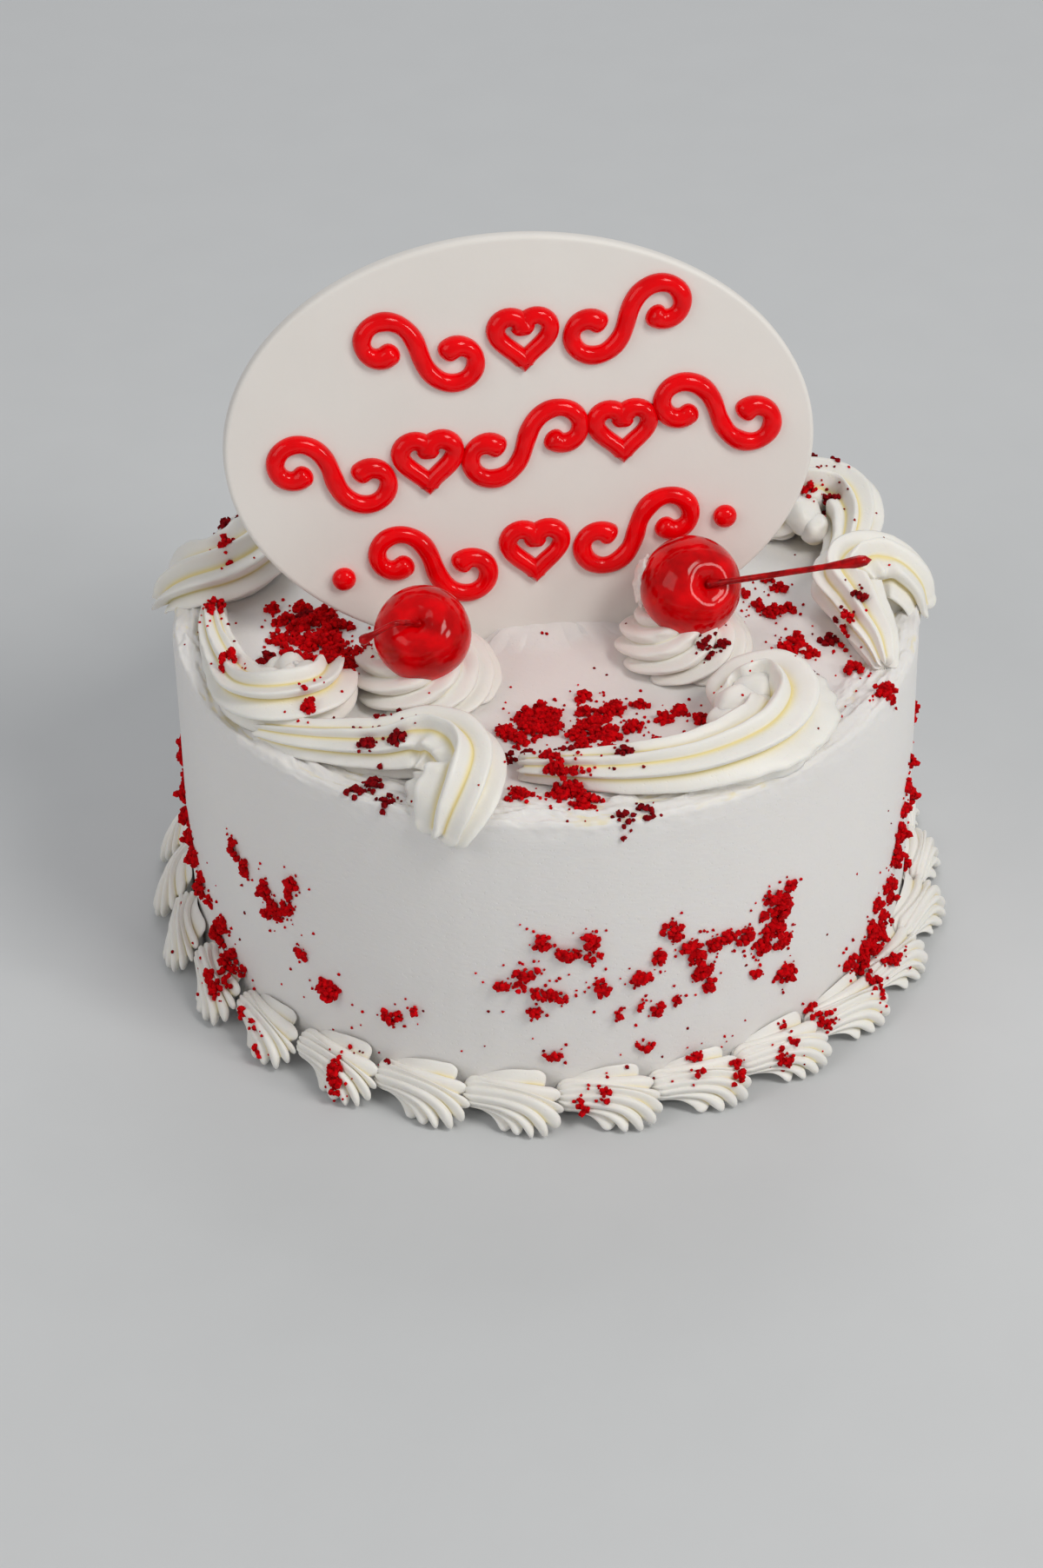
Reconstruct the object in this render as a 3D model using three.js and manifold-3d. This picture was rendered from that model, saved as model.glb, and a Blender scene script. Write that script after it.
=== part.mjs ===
// A round celebration cake with smooth white cream, a ring of fluted shells round its foot, eight piped
// commas round its top edge, two cherries on cream swirls, and an oval plaque piped with red gel that
// stands upright in the top. Sponge crumbs are scattered over it in clumps.
//
// Millimetres, +Z up. The cake stands on z = 0 with its axis on the z axis, and its front faces -Y.
import * as THREE from "three";
import { mergeVertices } from "three/addons/utils/BufferGeometryUtils.js";
import Module from "manifold-3d";

const wasm = await Module();
wasm.setup();
const { Manifold } = wasm;

// ---------------------------------------------------------------- driving dimensions
const CAKE_RADIUS = 101; // an 8 inch sponge under its cream
const CAKE_HEIGHT = 93.5; // flat of the top above the board
const FOOT_TAPER = 1.5; // how much slimmer the wall is at the foot
const RIM_LIP = 1.1; // the raised edge that the side cream leaves round the top
const RIM_BAND = 13; // width of the rough band inside the edge
const CLEARANCE = 0.3; // gap kept between pieces that touch

const PLAQUE = {
  halfWidth: 78.7,
  halfHeight: 58.4,
  thickness: 4.6,
  bevel: 1.1,
  centre: new THREE.Vector3(-5.8, -3.4, 147),
  turn: 8, // degrees about the upright, left edge nearer the front
  lean: 9, // degrees backwards
  roll: -4.7, // degrees in its own plane
};
// The low bank of cream that holds the plaque's foot.
const BANK = {
  size: new THREE.Vector3(25, 6.5, 3.4),
  centre: new THREE.Vector3(-2.8, -10.5, CAKE_HEIGHT - 0.6),
};

// A bead of piping gel, the strokes it is piped in, and how far a row of strokes climbs in 50 mm.
const GEL = {
  width: 5.2,
  height: 2.7,
  endShare: 0.72,
  rowRise: 4,
  scrollLength: 66,
  scrollSteps: 13,
  heartSize: 7.2,
  heartSteps: 11,
  pearlShare: 0.62,
};

const SHELLS = { count: 26, firstAngle: -94.5, midRadius: 106, grooveDepth: 0.17, wallGap: 1.3 };
const COMMA = { ribs: 7, grooveDepth: 0.25, rings: 11, twist: 0.5 };
const BEND_SHARE = 0.8; // how much of a bend's radius a rope's inner side may fill
const SMOOTHING = 0.06; // the largest step that merging flat triangles may take
const CAKE_SEGMENTS = 58; // sides of the turned cake
const CUT_SEGMENTS = 40; // sides of the body that cuts what lies on the cake

// The fluted swirl under each cherry: its middle, radius and height, and how far its ribs wind round.
const SWIRLS = [
  { name: "left", x: -32.2, y: -35.6, radius: 20.4, height: 15, ribs: 8, twist: 150, tilt: 3 },
  { name: "right", x: 36.6, y: -22.4, radius: 18.8, height: 14.5, ribs: 8, twist: 150, tilt: 2 },
];

// Each cherry: centre, radius, where its stem dimple points, and the run of its stem from the dimple.
const CHERRIES = [
  {
    name: "left",
    centre: new THREE.Vector3(-32.6, -37.6, CAKE_HEIGHT + 17.6),
    radius: 12.4,
    dimple: new THREE.Vector3(-0.08, -0.62, 0.78),
    stemReach: new THREE.Vector3(-15.5, -6.5, -1.5),
    stemRise: 5.5,
    stemRadius: 0.75,
  },
  {
    name: "right",
    centre: new THREE.Vector3(38.4, -19.6, CAKE_HEIGHT + 19.4),
    radius: 13.2,
    dimple: new THREE.Vector3(0.42, -0.74, 0.53),
    stemReach: new THREE.Vector3(43, -2.5, 8.5),
    stemRise: 2.2,
    stemRadius: 0.85,
  },
];

// ---------------------------------------------------------------- small tools
const rad = THREE.MathUtils.degToRad;

/** A point at a radius and an angle in degrees round the cake's axis. */
function polar(radius, degrees, z) {
  return new THREE.Vector3(radius * Math.cos(rad(degrees)), radius * Math.sin(rad(degrees)), z);
}

/** A repeatable source of random numbers from 0 to 1. */
function randomSource(seed) {
  let state = seed >>> 0;
  return () => {
    state = (Math.imul(state, 1664525) + 1013904223) >>> 0;
    return state / 4294967296;
  };
}

/** The solid bounded by a closed three.js geometry. */
function solidOf(geometry, weld = 1e-4) {
  const bare = geometry.index ? geometry.toNonIndexed() : geometry.clone();
  const positions = new THREE.BufferGeometry();
  positions.setAttribute("position", bare.getAttribute("position"));
  const merged = mergeVertices(positions, weld);
  return new Manifold(
    new wasm.Mesh({
      numProp: 3,
      vertProperties: merged.attributes.position.array,
      triVerts: new Uint32Array(merged.index.array),
    }),
  );
}

/** The three.js geometry of a solid. */
function geometryOf(solid) {
  const mesh = solid.getMesh();
  const positions = new Float32Array(mesh.numVert * 3);
  for (let i = 0; i < mesh.numVert; i++) {
    positions.set(mesh.vertProperties.subarray(i * mesh.numProp, i * mesh.numProp + 3), i * 3);
  }
  const geometry = new THREE.BufferGeometry();
  geometry.setAttribute("position", new THREE.BufferAttribute(positions, 3));
  geometry.setIndex(new THREE.BufferAttribute(new Uint32Array(mesh.triVerts), 1));
  geometry.computeVertexNormals();
  return geometry;
}

/** A closed solid through rings of points: neighbours are joined, and both ends are fanned shut. */
function solidThroughRings(rings, windingTurned = false) {
  const sides = rings[0].length;
  const positions = rings.flat().flatMap((p) => [p.x, p.y, p.z]);
  const faces = [];
  for (let r = 0; r + 1 < rings.length; r++) {
    for (let s = 0; s < sides; s++) {
      const a = r * sides + s;
      const b = r * sides + ((s + 1) % sides);
      faces.push(a, b, b + sides, a, b + sides, a + sides);
    }
  }
  for (const [ring, flip] of [[0, true], [rings.length - 1, false]]) {
    const centre = rings[ring].reduce((sum, p) => sum.add(p), new THREE.Vector3()).divideScalar(sides);
    const hub = positions.length / 3;
    positions.push(centre.x, centre.y, centre.z);
    for (let s = 0; s < sides; s++) {
      const a = ring * sides + s;
      const b = ring * sides + ((s + 1) % sides);
      faces.push(...(flip ? [b, a, hub] : [a, b, hub]));
    }
  }
  const made = new Manifold(
    new wasm.Mesh({
      numProp: 3,
      vertProperties: new Float32Array(positions),
      triVerts: new Uint32Array(windingTurned ? faces.reverse() : faces),
    }),
  );
  return made.volume() < 0 ? solidThroughRings(rings, true) : made;
}

/** The largest connected body of a solid, with its flat triangles merged: loose scraps are dropped. */
function mainBody(solid, smoothing = SMOOTHING) {
  let body = smoothing ? solid.simplify(smoothing) : solid;
  for (let pass = 0; pass < 3; pass++) {
    const pieces = solidOf(geometryOf(body), 1e-3).decompose();
    body = pieces.reduce((best, piece) => (piece.volume() > best.volume() ? piece : best));
  }
  return body;
}

/**
 * The rings of a rope of piped cream. Each station gives the rope's centre, half width and half height.
 * A ring is a star with one crest a rib, and it stands square to the rope's run, with its up side kept up.
 */
function ropeRings(stations, ribs, grooveDepth, ringCount, grow = 0, twist = 0) {
  const centres = new THREE.CatmullRomCurve3(stations.map((s) => s.centre));
  const sizes = new THREE.CatmullRomCurve3(
    stations.map((s) => new THREE.Vector3(s.halfWidth, s.halfHeight, 0)),
  );
  const up = new THREE.Vector3(0, 0, 1);
  const rings = [];
  for (let i = 0; i < ringCount; i++) {
    const t = i / (ringCount - 1);
    const run = centres.getTangent(t);
    const side = new THREE.Vector3().crossVectors(run, up).normalize();
    const lift = new THREE.Vector3().crossVectors(side, run);
    const centre = centres.getPoint(t);
    const size = sizes.getPoint(t);
    const bend = bendAt(centres, t);
    const ring = [];
    for (let k = 0; k < 2 * ribs; k++) {
      const angle = (Math.PI * k) / ribs + twist * t;
      const across = Math.cos(angle);
      const inside = across * bend < 0;
      const width = inside ? Math.min(size.x, BEND_SHARE / Math.abs(bend)) : size.x;
      const share = k % 2 ? 1 - grooveDepth : 1;
      ring.push(
        centre
          .clone()
          .addScaledVector(side, across * (width * share + grow))
          .addScaledVector(lift, Math.sin(angle) * (size.y * share + grow)),
      );
    }
    rings.push(ring);
  }
  return rings;
}

/** How sharply a path bends on plan at t, in turns of one radian a millimetre, positive to the left. */
function bendAt(path, t) {
  const before = path.getTangent(Math.max(0, t - 0.02)).setZ(0).normalize();
  const after = path.getTangent(Math.min(1, t + 0.02)).setZ(0).normalize();
  const span = path.getPoint(Math.max(0, t - 0.02)).distanceTo(path.getPoint(Math.min(1, t + 0.02)));
  return Math.asin(before.x * after.y - before.y * after.x) / span;
}

/** A plain skin round the crests of a rope, used to cut what is tucked under it. */
function ropeSkin(stations, ribs, ringCount, grow, twist = 0) {
  const rings = ropeRings(stations, ribs, 0, ringCount, grow, twist).map((ring) =>
    ring.filter((_, k) => k % 2 === 0).map((p) => p.toArray()),
  );
  return Manifold.union(rings.slice(1).map((ring, i) => Manifold.hull([...rings[i], ...ring])));
}

// ---------------------------------------------------------------- the cake
// The rounded edge from the wall to the top: [out from the cake's radius, up from its flat top].
const RIM_OUTLINE = [
  [0.2, -5],
  [-0.3, -0.9],
  [-1.8, RIM_LIP * 0.9],
  [-5, RIM_LIP],
  [-RIM_BAND, 0],
];

/** The outline of the cake from its axis at the foot, up the wall and over the rim. */
function cakeOutline(grow = 0) {
  const radius = CAKE_RADIUS + grow;
  const top = CAKE_HEIGHT + grow;
  const foot = [
    [0, -grow],
    [radius - FOOT_TAPER, -grow],
    [radius - 0.1, CAKE_HEIGHT * 0.45], // the wall swells a little on its way up
  ];
  const rim = RIM_OUTLINE.map(([out, up]) => [radius + out, top + up]);
  return [...foot, ...rim, [0, top]].map(([x, y]) => new THREE.Vector2(x, y));
}

/** The plain turned body of the cake, or the same body grown all round to cut clearance. */
function turnedCake(segments, grow = 0) {
  const geometry = new THREE.LatheGeometry(cakeOutline(grow), segments);
  geometry.rotateX(Math.PI / 2);
  return solidOf(geometry);
}

/** The bank of cream along the plaque's foot, as one flattened ball. */
function plaqueBank() {
  const ball = new THREE.SphereGeometry(1, 14, 8);
  ball.scale(BANK.size.x, BANK.size.y, BANK.size.z);
  ball.rotateZ(rad(PLAQUE.turn));
  ball.translate(BANK.centre.x, BANK.centre.y, BANK.centre.z);
  return solidOf(ball);
}

// The largest clumps of crumbs on the wall, each [angle, height, size], and on the top, each [x, y, size].
const WALL_CLUMPS = [
  [-147, 58, 3.4], [-143, 50, 2.6], [-150, 66, 2.4], [-126.5, 35, 4.2], [-137, 62, 2.6],
  [-133, 54, 3.2], [-86, 50, 3.4], [-83, 52, 2.6], [-90, 42, 3], [-58, 52, 2.8],
  [-54, 46, 3.8], [-49, 60, 2.8], [-46, 55, 3.6], [-168, 44, 3.8], [-163, 62, 3.2],
  [-22, 42, 4], [-14, 60, 3.4], [-17, 50, 2.8], [14, 38, 3.4], [34, 52, 3],
  [62, 40, 3.6], [88, 54, 3], [112, 36, 3.6], [141, 52, 3.2], [160, 34, 3.8],
];
const TOP_CLUMPS = [
  [-63, -22, 3.8], [-57, -31, 4.2], [-66, -34, 3], [-52, -20, 3.2], [1, -58, 4],
  [9, -63, 3.6], [-4, -66, 3.4], [17, -55, 3], [52, -39, 3.4], [66, -18, 3.6],
  [61, -6, 3], [38, 46, 3.6], [-34, 52, 3.6], [4, 62, 3.4],
];

// How uneven and how flat a clump is, and how deep it is sunk in the wall or raised on the top.
const CLUMP = { smallest: 0.78, spread: 0.5, flatness: 0.55, sunk: 0.4, raised: 0.2 };

/** One clump of sponge crumbs: a dented low ball, flattened on to its surface. */
function crumbClump(size, random) {
  const ball = new THREE.IcosahedronGeometry(size, 0);
  const merged = mergeVertices(ball.deleteAttribute("normal").deleteAttribute("uv"), 1e-4);
  const position = merged.getAttribute("position");
  for (let i = 0; i < position.count; i++) {
    const share = CLUMP.smallest + CLUMP.spread * random();
    const [x, y, z] = [position.getX(i), position.getY(i), position.getZ(i)];
    position.setXYZ(i, x * share, y * share, z * share);
  }
  merged.scale(1, 1, CLUMP.flatness);
  merged.rotateZ(2 * Math.PI * random());
  return merged;
}

/** Every large clump, half sunk in the cream it stuck to. */
function crumbs() {
  const random = randomSource(11);
  const onWall = WALL_CLUMPS.map(([angle, height, size]) => {
    const clump = crumbClump(size, random);
    clump.rotateY(Math.PI / 2);
    clump.translate(CAKE_RADIUS - CLUMP.sunk, 0, height);
    return clump.rotateZ(rad(angle));
  });
  const onTop = TOP_CLUMPS.map(([x, y, size]) => {
    const clump = crumbClump(size, random);
    return clump.translate(x, y, CAKE_HEIGHT + CLUMP.raised);
  });
  return [...onWall, ...onTop].map((clump) => solidOf(clump));
}

// ---------------------------------------------------------------- the plaque and its gel
/** The plaque's place: width along X, height along Y and its face towards +Z before it is stood up. */
function plaquePlace() {
  const stand = new THREE.Matrix4().makeRotationX(rad(90 - PLAQUE.lean));
  const turn = new THREE.Matrix4().makeRotationZ(rad(PLAQUE.turn));
  const place = new THREE.Matrix4().makeTranslation(PLAQUE.centre);
  return place.multiply(turn).multiply(stand);
}

/** The oval plate with softened edges, or the same plate grown all round to cut clearance. */
function plaquePlate(grow = 0) {
  const { halfWidth, halfHeight, thickness, bevel } = PLAQUE;
  const outline = new THREE.Shape();
  outline.absellipse(0, 0, halfWidth - bevel + grow, halfHeight - bevel + grow, 0, 2 * Math.PI);
  const depth = thickness - 2 * bevel + 2 * grow;
  const plate = new THREE.ExtrudeGeometry(outline, {
    depth,
    bevelThickness: bevel,
    bevelSize: bevel,
    bevelSegments: 1,
    curveSegments: 30,
  });
  plate.translate(0, 0, -thickness + bevel - grow);
  plate.rotateZ(rad(PLAQUE.roll));
  return plate;
}

// A scroll's heading in radians: -lean in its middle, plus turn at each end, most of it close to the end.
const SCROLL = { fineSteps: 120, lean: 1.3, turn: 5.2, curl: 1.6, crowding: 0.8 };

/** A scroll lying along its row: an easy S whose two ends curl opposite ways. */
function scrollStroke(cx, cy, length, sign) {
  const path = [new THREE.Vector2()];
  for (let i = 1; i <= SCROLL.fineSteps; i++) {
    const s = (2 * i - 1) / SCROLL.fineSteps - 1;
    const heading = sign * (SCROLL.turn * Math.abs(s) ** SCROLL.curl - SCROLL.lean);
    const step = new THREE.Vector2(Math.cos(heading), Math.sin(heading));
    path.push(path[i - 1].clone().addScaledVector(step, length / SCROLL.fineSteps));
  }
  const points = [];
  for (let i = 0; i <= GEL.scrollSteps; i++) {
    const even = (2 * i) / GEL.scrollSteps - 1; // steps are closer together towards the curls
    const s = Math.sign(even) * Math.abs(even) ** SCROLL.crowding;
    points.push(path[Math.round(((s + 1) / 2) * SCROLL.fineSteps)].clone());
  }
  const middle = path[0].clone().add(path[SCROLL.fineSteps]).multiplyScalar(0.5);
  return points.map((p) => p.sub(middle).add(new THREE.Vector2(cx, cy)));
}

/** A heart drawn in one stroke from its notch, down to its point and back. */
function heartStroke(cx, cy, size) {
  const points = [];
  const steps = GEL.heartSteps;
  for (let i = 0; i <= steps; i++) {
    const a = (2 * Math.PI * (i + 0.25)) / (steps + 0.5);
    const x = Math.sin(a) ** 3;
    const y = 0.81 * Math.cos(a) - 0.31 * Math.cos(2 * a) - 0.13 * Math.cos(3 * a) - 0.06 * Math.cos(4 * a);
    points.push(new THREE.Vector2(cx + size * x, cy + size * y));
  }
  return points;
}

/** Every stroke of gel on the plaque: three climbing rows of scrolls, hearts and pearls. */
function gelStrokes() {
  const strokes = [];
  const pearls = [];
  const rows = [
    { v: 31, hearts: [1.5], scrolls: [-26, 29], pearls: [] },
    { v: 1, hearts: [-25, 27], scrolls: [-50.5, 1, 52.5], pearls: [] },
    { v: -29, hearts: [2.5], scrolls: [-25, 30], pearls: [-49, 54] },
  ];
  for (const row of rows) {
    const at = (u) => row.v + (GEL.rowRise * u) / 50;
    row.scrolls.forEach((u, i) => {
      strokes.push(scrollStroke(u, at(u), GEL.scrollLength, i % 2 ? -1 : 1));
    });
    row.hearts.forEach((u) => strokes.push(heartStroke(u, at(u), GEL.heartSize)));
    row.pearls.forEach((u) => pearls.push(new THREE.Vector2(u, at(u))));
  }
  return { strokes, pearls };
}

// A bead of gel in section: [across in widths, up in heights], sunk a little way into the plaque.
const BEAD_SECTION = [
  [-0.5, -0.4],
  [0.5, -0.4],
  [0.3, 1],
  [-0.3, 1],
];

/** One bead of gel along a stroke: a low ridge, made of one hull for each step. */
function gelBead(stroke) {
  const last = stroke.length - 1;
  const rings = stroke.map((point, i) => {
    const before = stroke[Math.max(0, i - 1)];
    const after = stroke[Math.min(last, i + 1)];
    const run = after.clone().sub(before).normalize();
    const end = i === 0 || i === last ? GEL.endShare : 1;
    return BEAD_SECTION.map(([across, high]) => [
      point.x + run.y * across * GEL.width * end,
      point.y - run.x * across * GEL.width * end,
      high * GEL.height * end,
    ]);
  });
  return Manifold.union(rings.slice(1).map((ring, i) => Manifold.hull([...rings[i], ...ring])));
}

/** The plaque with its gel fused on. */
function plaqueSolid() {
  const { strokes, pearls } = gelStrokes();
  const parts = [solidOf(plaquePlate())];
  strokes.forEach((stroke) => parts.push(gelBead(stroke)));
  for (const pearl of pearls) {
    const ball = new THREE.SphereGeometry(GEL.width * GEL.pearlShare, 7, 4);
    ball.scale(1, 1, 0.8);
    ball.translate(pearl.x, pearl.y, 0.6);
    parts.push(solidOf(ball));
  }
  const geometry = geometryOf(Manifold.union(parts));
  geometry.applyMatrix4(plaquePlace());
  return solidOf(geometry);
}

/** The space that the plaque and its gel take in the cream. */
function plaqueClearance() {
  const plate = plaquePlate(CLEARANCE);
  plate.applyMatrix4(plaquePlace());
  return solidOf(plate);
}

// ---------------------------------------------------------------- piped commas round the top
// Offsets from the comma's head: [turn in degrees, radius, height above the top, half width, half height].
const OUTWARD_COMMA = [
  [-2.6, 103, -3.4, 7.5, 4.2],
  [-0.4, 99.6, 1.8, 11, 8],
  [1.3, 93, 6.6, 12.2, 10],
  [1, 86.5, 8.8, 12.2, 10.5],
  [-2.8, 82.3, 9.2, 11.6, 10],
  [-8.8, 81.8, 8.2, 10, 9.2],
  [-16, 84.5, 6.4, 8.6, 7.8],
  [-24, 88, 5, 7.4, 6.6],
  [-31, 92, 4, 6, 5.4],
  [-37, 95, 2.6, 4, 3.8],
];
const INWARD_COMMA = [
  [-3, 70.5, 6, 7, 5.4],
  [0.3, 73.5, 8.5, 11, 9],
  [2.6, 80, 9.4, 13, 10.5],
  [-0.6, 88, 9, 13.2, 10.5],
  [-8, 92.2, 8, 12, 9.5],
  [-19, 91, 6.6, 9.6, 8.2],
  [-30, 86.5, 5.4, 7.6, 6.8],
  [-40, 81.5, 4.2, 5.8, 5.4],
  [-48, 78.5, 2.8, 4, 4],
];
// The inward form again, with a slim tail that keeps close to the rim.
const SLIM_COMMA = [
  ...INWARD_COMMA.slice(0, 4),
  [-8, 91.8, 7.2, 10.4, 8.4],
  [-19, 90.8, 5.4, 7.4, 6.4],
  [-30, 90.2, 4.4, 5.8, 5.2],
  [-40, 90, 3.4, 4.8, 4.4],
  [-48, 90, 2.6, 3.8, 3.6],
];
// Each comma's head angle, its form, its size against the one measured, and how long its tail runs.
const COMMAS = [
  { head: -104, form: OUTWARD_COMMA, size: 1, tail: 1 },
  { head: -46, form: INWARD_COMMA, size: 1, tail: 1 },
  { head: 3, form: OUTWARD_COMMA, size: 1, tail: 0.62 },
  { head: 30, form: INWARD_COMMA, size: 0.95, tail: 0.5 },
  { head: 76, form: OUTWARD_COMMA, size: 1, tail: 0.95 },
  { head: 123, form: INWARD_COMMA, size: 0.97, tail: 0.86 },
  { head: 174, form: OUTWARD_COMMA, size: 1, tail: 1.1 },
  { head: 217, form: SLIM_COMMA, size: 0.9, tail: 0.78 },
];

/** The stations of one comma round the cake. */
function commaStations({ head, form, size, tail }) {
  return form.map(([turn, radius, height, halfWidth, halfHeight]) => ({
    centre: polar(radius, head + turn * (turn < 0 ? tail : 1), CAKE_HEIGHT + height * size),
    halfWidth: halfWidth * size,
    halfHeight: halfHeight * size,
  }));
}

/** One comma before it is cut by what it lies on. */
function commaRope(comma) {
  const stations = commaStations(comma);
  return solidThroughRings(
    ropeRings(stations, COMMA.ribs, COMMA.grooveDepth, COMMA.rings, 0, COMMA.twist),
  );
}

/** The skin round a whole comma that cuts the tail tucked under it. */
function commaSkin(comma) {
  return ropeSkin(commaStations(comma), COMMA.ribs, COMMA.rings, CLEARANCE + 0.1, COMMA.twist);
}

// ---------------------------------------------------------------- shells round the foot
// A shell's ribs start on a small round root, [along the wall, out from the wall, height], and end on a fan
// that runs from the board at the front, round the wide end, and up to the wall.
const SHELL_ROOT = { middle: [-12.6, 2.2, 7.4], radius: 2.7, from: -50, to: 80 };
const SHELL_FAN = [
  [-5, 10.4, 0.4],
  [0.6, 13, 0.4],
  [5.4, 13.2, 0.5],
  [9.8, 11.6, 1.4],
  [12.5, 8, 4.8],
  [12.3, 4.6, 9.6],
  [8, 1.8, 13.8],
].map((p) => new THREE.Vector3(...p));
const SHELL_BULGE = [1.6, 2.4, 3, 3.4, 3.6, 3.4, 2.8]; // how far each rib arches above its chord
const SHELL_CORE = new THREE.Vector3(2, 3, 4); // the place inside a shell that its grooves sink towards
const SHELL_RINGS = [0, 0.28, 0.58, 0.86, 1]; // where the rings stand, from the root to the tips
const SHELL_TIP_SHARE = 0.92; // how far the last ring is drawn in, which rounds the tips
const SHELL_UNEVENNESS = 0.045; // how much the shells differ in size

/** A place beside the wall, from along, out and up, to the cake's own frame. */
function besideWall(angle, p) {
  const along = p.x / SHELLS.midRadius;
  const wall = CAKE_RADIUS - FOOT_TAPER + SHELLS.wallGap;
  return polar(wall + p.y, angle + THREE.MathUtils.radToDeg(along), Math.max(0, p.z));
}

/** Where one rib leaves the root. */
function shellRibStart(k) {
  const { middle, radius, from, to } = SHELL_ROOT;
  const angle = rad(THREE.MathUtils.lerp(from, to, k / (SHELL_FAN.length - 1)));
  const round = new THREE.Vector3(0, radius * Math.cos(angle), radius * Math.sin(angle));
  return round.add(new THREE.Vector3(...middle));
}

/** One rib's crest, which swells quickly from the shell's root, arches over and droops late to its end. */
function shellRib(k, t) {
  const start = shellRibStart(k);
  const end = SHELL_FAN[k];
  const arch = SHELL_BULGE[k] * 4 * t * (1 - t);
  const swell = 1 - (1 - t) ** 2;
  const climb = end.z > start.z ? swell : t ** 1.8;
  return new THREE.Vector3(
    THREE.MathUtils.lerp(start.x, end.x, t),
    THREE.MathUtils.lerp(start.y, end.y, swell) + 0.3 * arch,
    THREE.MathUtils.lerp(start.z, end.z, climb) + 0.5 * arch,
  );
}

/** One shell: ribs with grooves between them, closed by a flat foot and a flat back near the wall. */
function shellSolid(index) {
  const angle = SHELLS.firstAngle + (index * 360) / SHELLS.count;
  const nudge = 1 + SHELL_UNEVENNESS * Math.sin(index * 2.4);
  const rings = SHELL_RINGS.map((t) => {
    const drawnIn = t === 1 ? 1 - SHELL_TIP_SHARE : 0;
    const grooveDepth = SHELLS.grooveDepth * (0.4 + 0.6 * t);
    const ring = [];
    const first = shellRib(0, t);
    ring.push(new THREE.Vector3(first.x, 0, 0), new THREE.Vector3(first.x, first.y * 0.85, 0));
    for (let k = 0; k < SHELL_FAN.length; k++) {
      if (k > 0) {
        const groove = shellRib(k - 1, t).lerp(shellRib(k, t), 0.5);
        ring.push(groove.lerp(SHELL_CORE, drawnIn + (1 - drawnIn) * grooveDepth));
      }
      ring.push(shellRib(k, t).lerp(SHELL_CORE, drawnIn));
    }
    const last = shellRib(SHELL_FAN.length - 1, t);
    ring.push(new THREE.Vector3(last.x, 0, last.z));
    return ring.map((p) => besideWall(angle, new THREE.Vector3(p.x, p.y * nudge, p.z * nudge)));
  });
  return solidThroughRings(rings);
}

// ---------------------------------------------------------------- swirls and cherries
// A swirl's outline from its foot to its top: [share of its height, share of its radius].
const SWIRL_LEVELS = [
  [0, 0.93],
  [0.16, 1],
  [0.38, 0.93],
  [0.6, 0.78],
  [0.8, 0.58],
  [1, 0.34],
];
const SWIRL_GROOVE_SHARE = 0.8; // a groove's radius against its ribs'

/** A swirl of cream: a low fluted dome whose ribs wind round as they climb. */
function swirlSolid({ x, y, radius, height, ribs, twist, tilt }) {
  const rings = SWIRL_LEVELS.map(([share, reach]) => {
    const ring = [];
    for (let k = 0; k < 2 * ribs; k++) {
      const angle = (Math.PI * k) / ribs + rad(twist) * share;
      const r = radius * reach * (k % 2 ? SWIRL_GROOVE_SHARE : 1);
      const back = Math.sin(angle) * reach * tilt * share;
      const z = CAKE_HEIGHT + CLEARANCE + share * height + back;
      ring.push(new THREE.Vector3(x + r * Math.cos(angle), y + r * Math.sin(angle), z));
    }
    return ring;
  });
  return solidThroughRings(rings);
}

// A cherry's form in shares of its radius; each dip's width is in radians from its pole.
const CHERRY_FORM = {
  belly: 0.035,
  dimple: 0.3,
  dimpleWidth: 0.34,
  foot: 0.08,
  footWidth: 0.4,
  flatness: 0.95,
};

/** A cherry: a ball flattened at its poles and drawn in round its stem. */
function cherryGeometry({ radius, centre, dimple }, grow = 0) {
  const ball = new THREE.SphereGeometry(1, 15, 10);
  const position = ball.getAttribute("position");
  for (let i = 0; i < position.count; i++) {
    const p = new THREE.Vector3().fromBufferAttribute(position, i);
    const fromPole = Math.acos(THREE.MathUtils.clamp(p.y, -1, 1));
    const top = CHERRY_FORM.dimple * Math.exp(-((fromPole / CHERRY_FORM.dimpleWidth) ** 2));
    const foot = CHERRY_FORM.foot * Math.exp(-(((Math.PI - fromPole) / CHERRY_FORM.footWidth) ** 2));
    const belly = CHERRY_FORM.belly * Math.sin(fromPole) ** 2;
    p.multiplyScalar(radius * (1 + belly - top - foot) + grow);
    position.setXYZ(i, p.x, p.y * CHERRY_FORM.flatness, p.z);
  }
  const pole = new THREE.Vector3(0, 1, 0);
  const turn = new THREE.Quaternion().setFromUnitVectors(pole, dimple.clone().normalize());
  ball.applyQuaternion(turn);
  ball.translate(centre.x, centre.y, centre.z);
  return ball;
}

// A stem starts at a share of the cherry's radius and bends at a share of its run. It flares where it
// starts, and past knobStart it swells into a knob.
const STEM = {
  start: 0.72,
  bend: 0.42,
  steps: 7,
  sides: 6,
  flare: 0.35,
  flareLength: 1 / 6,
  knob: 1.9,
  knobStart: 0.85,
};

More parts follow.
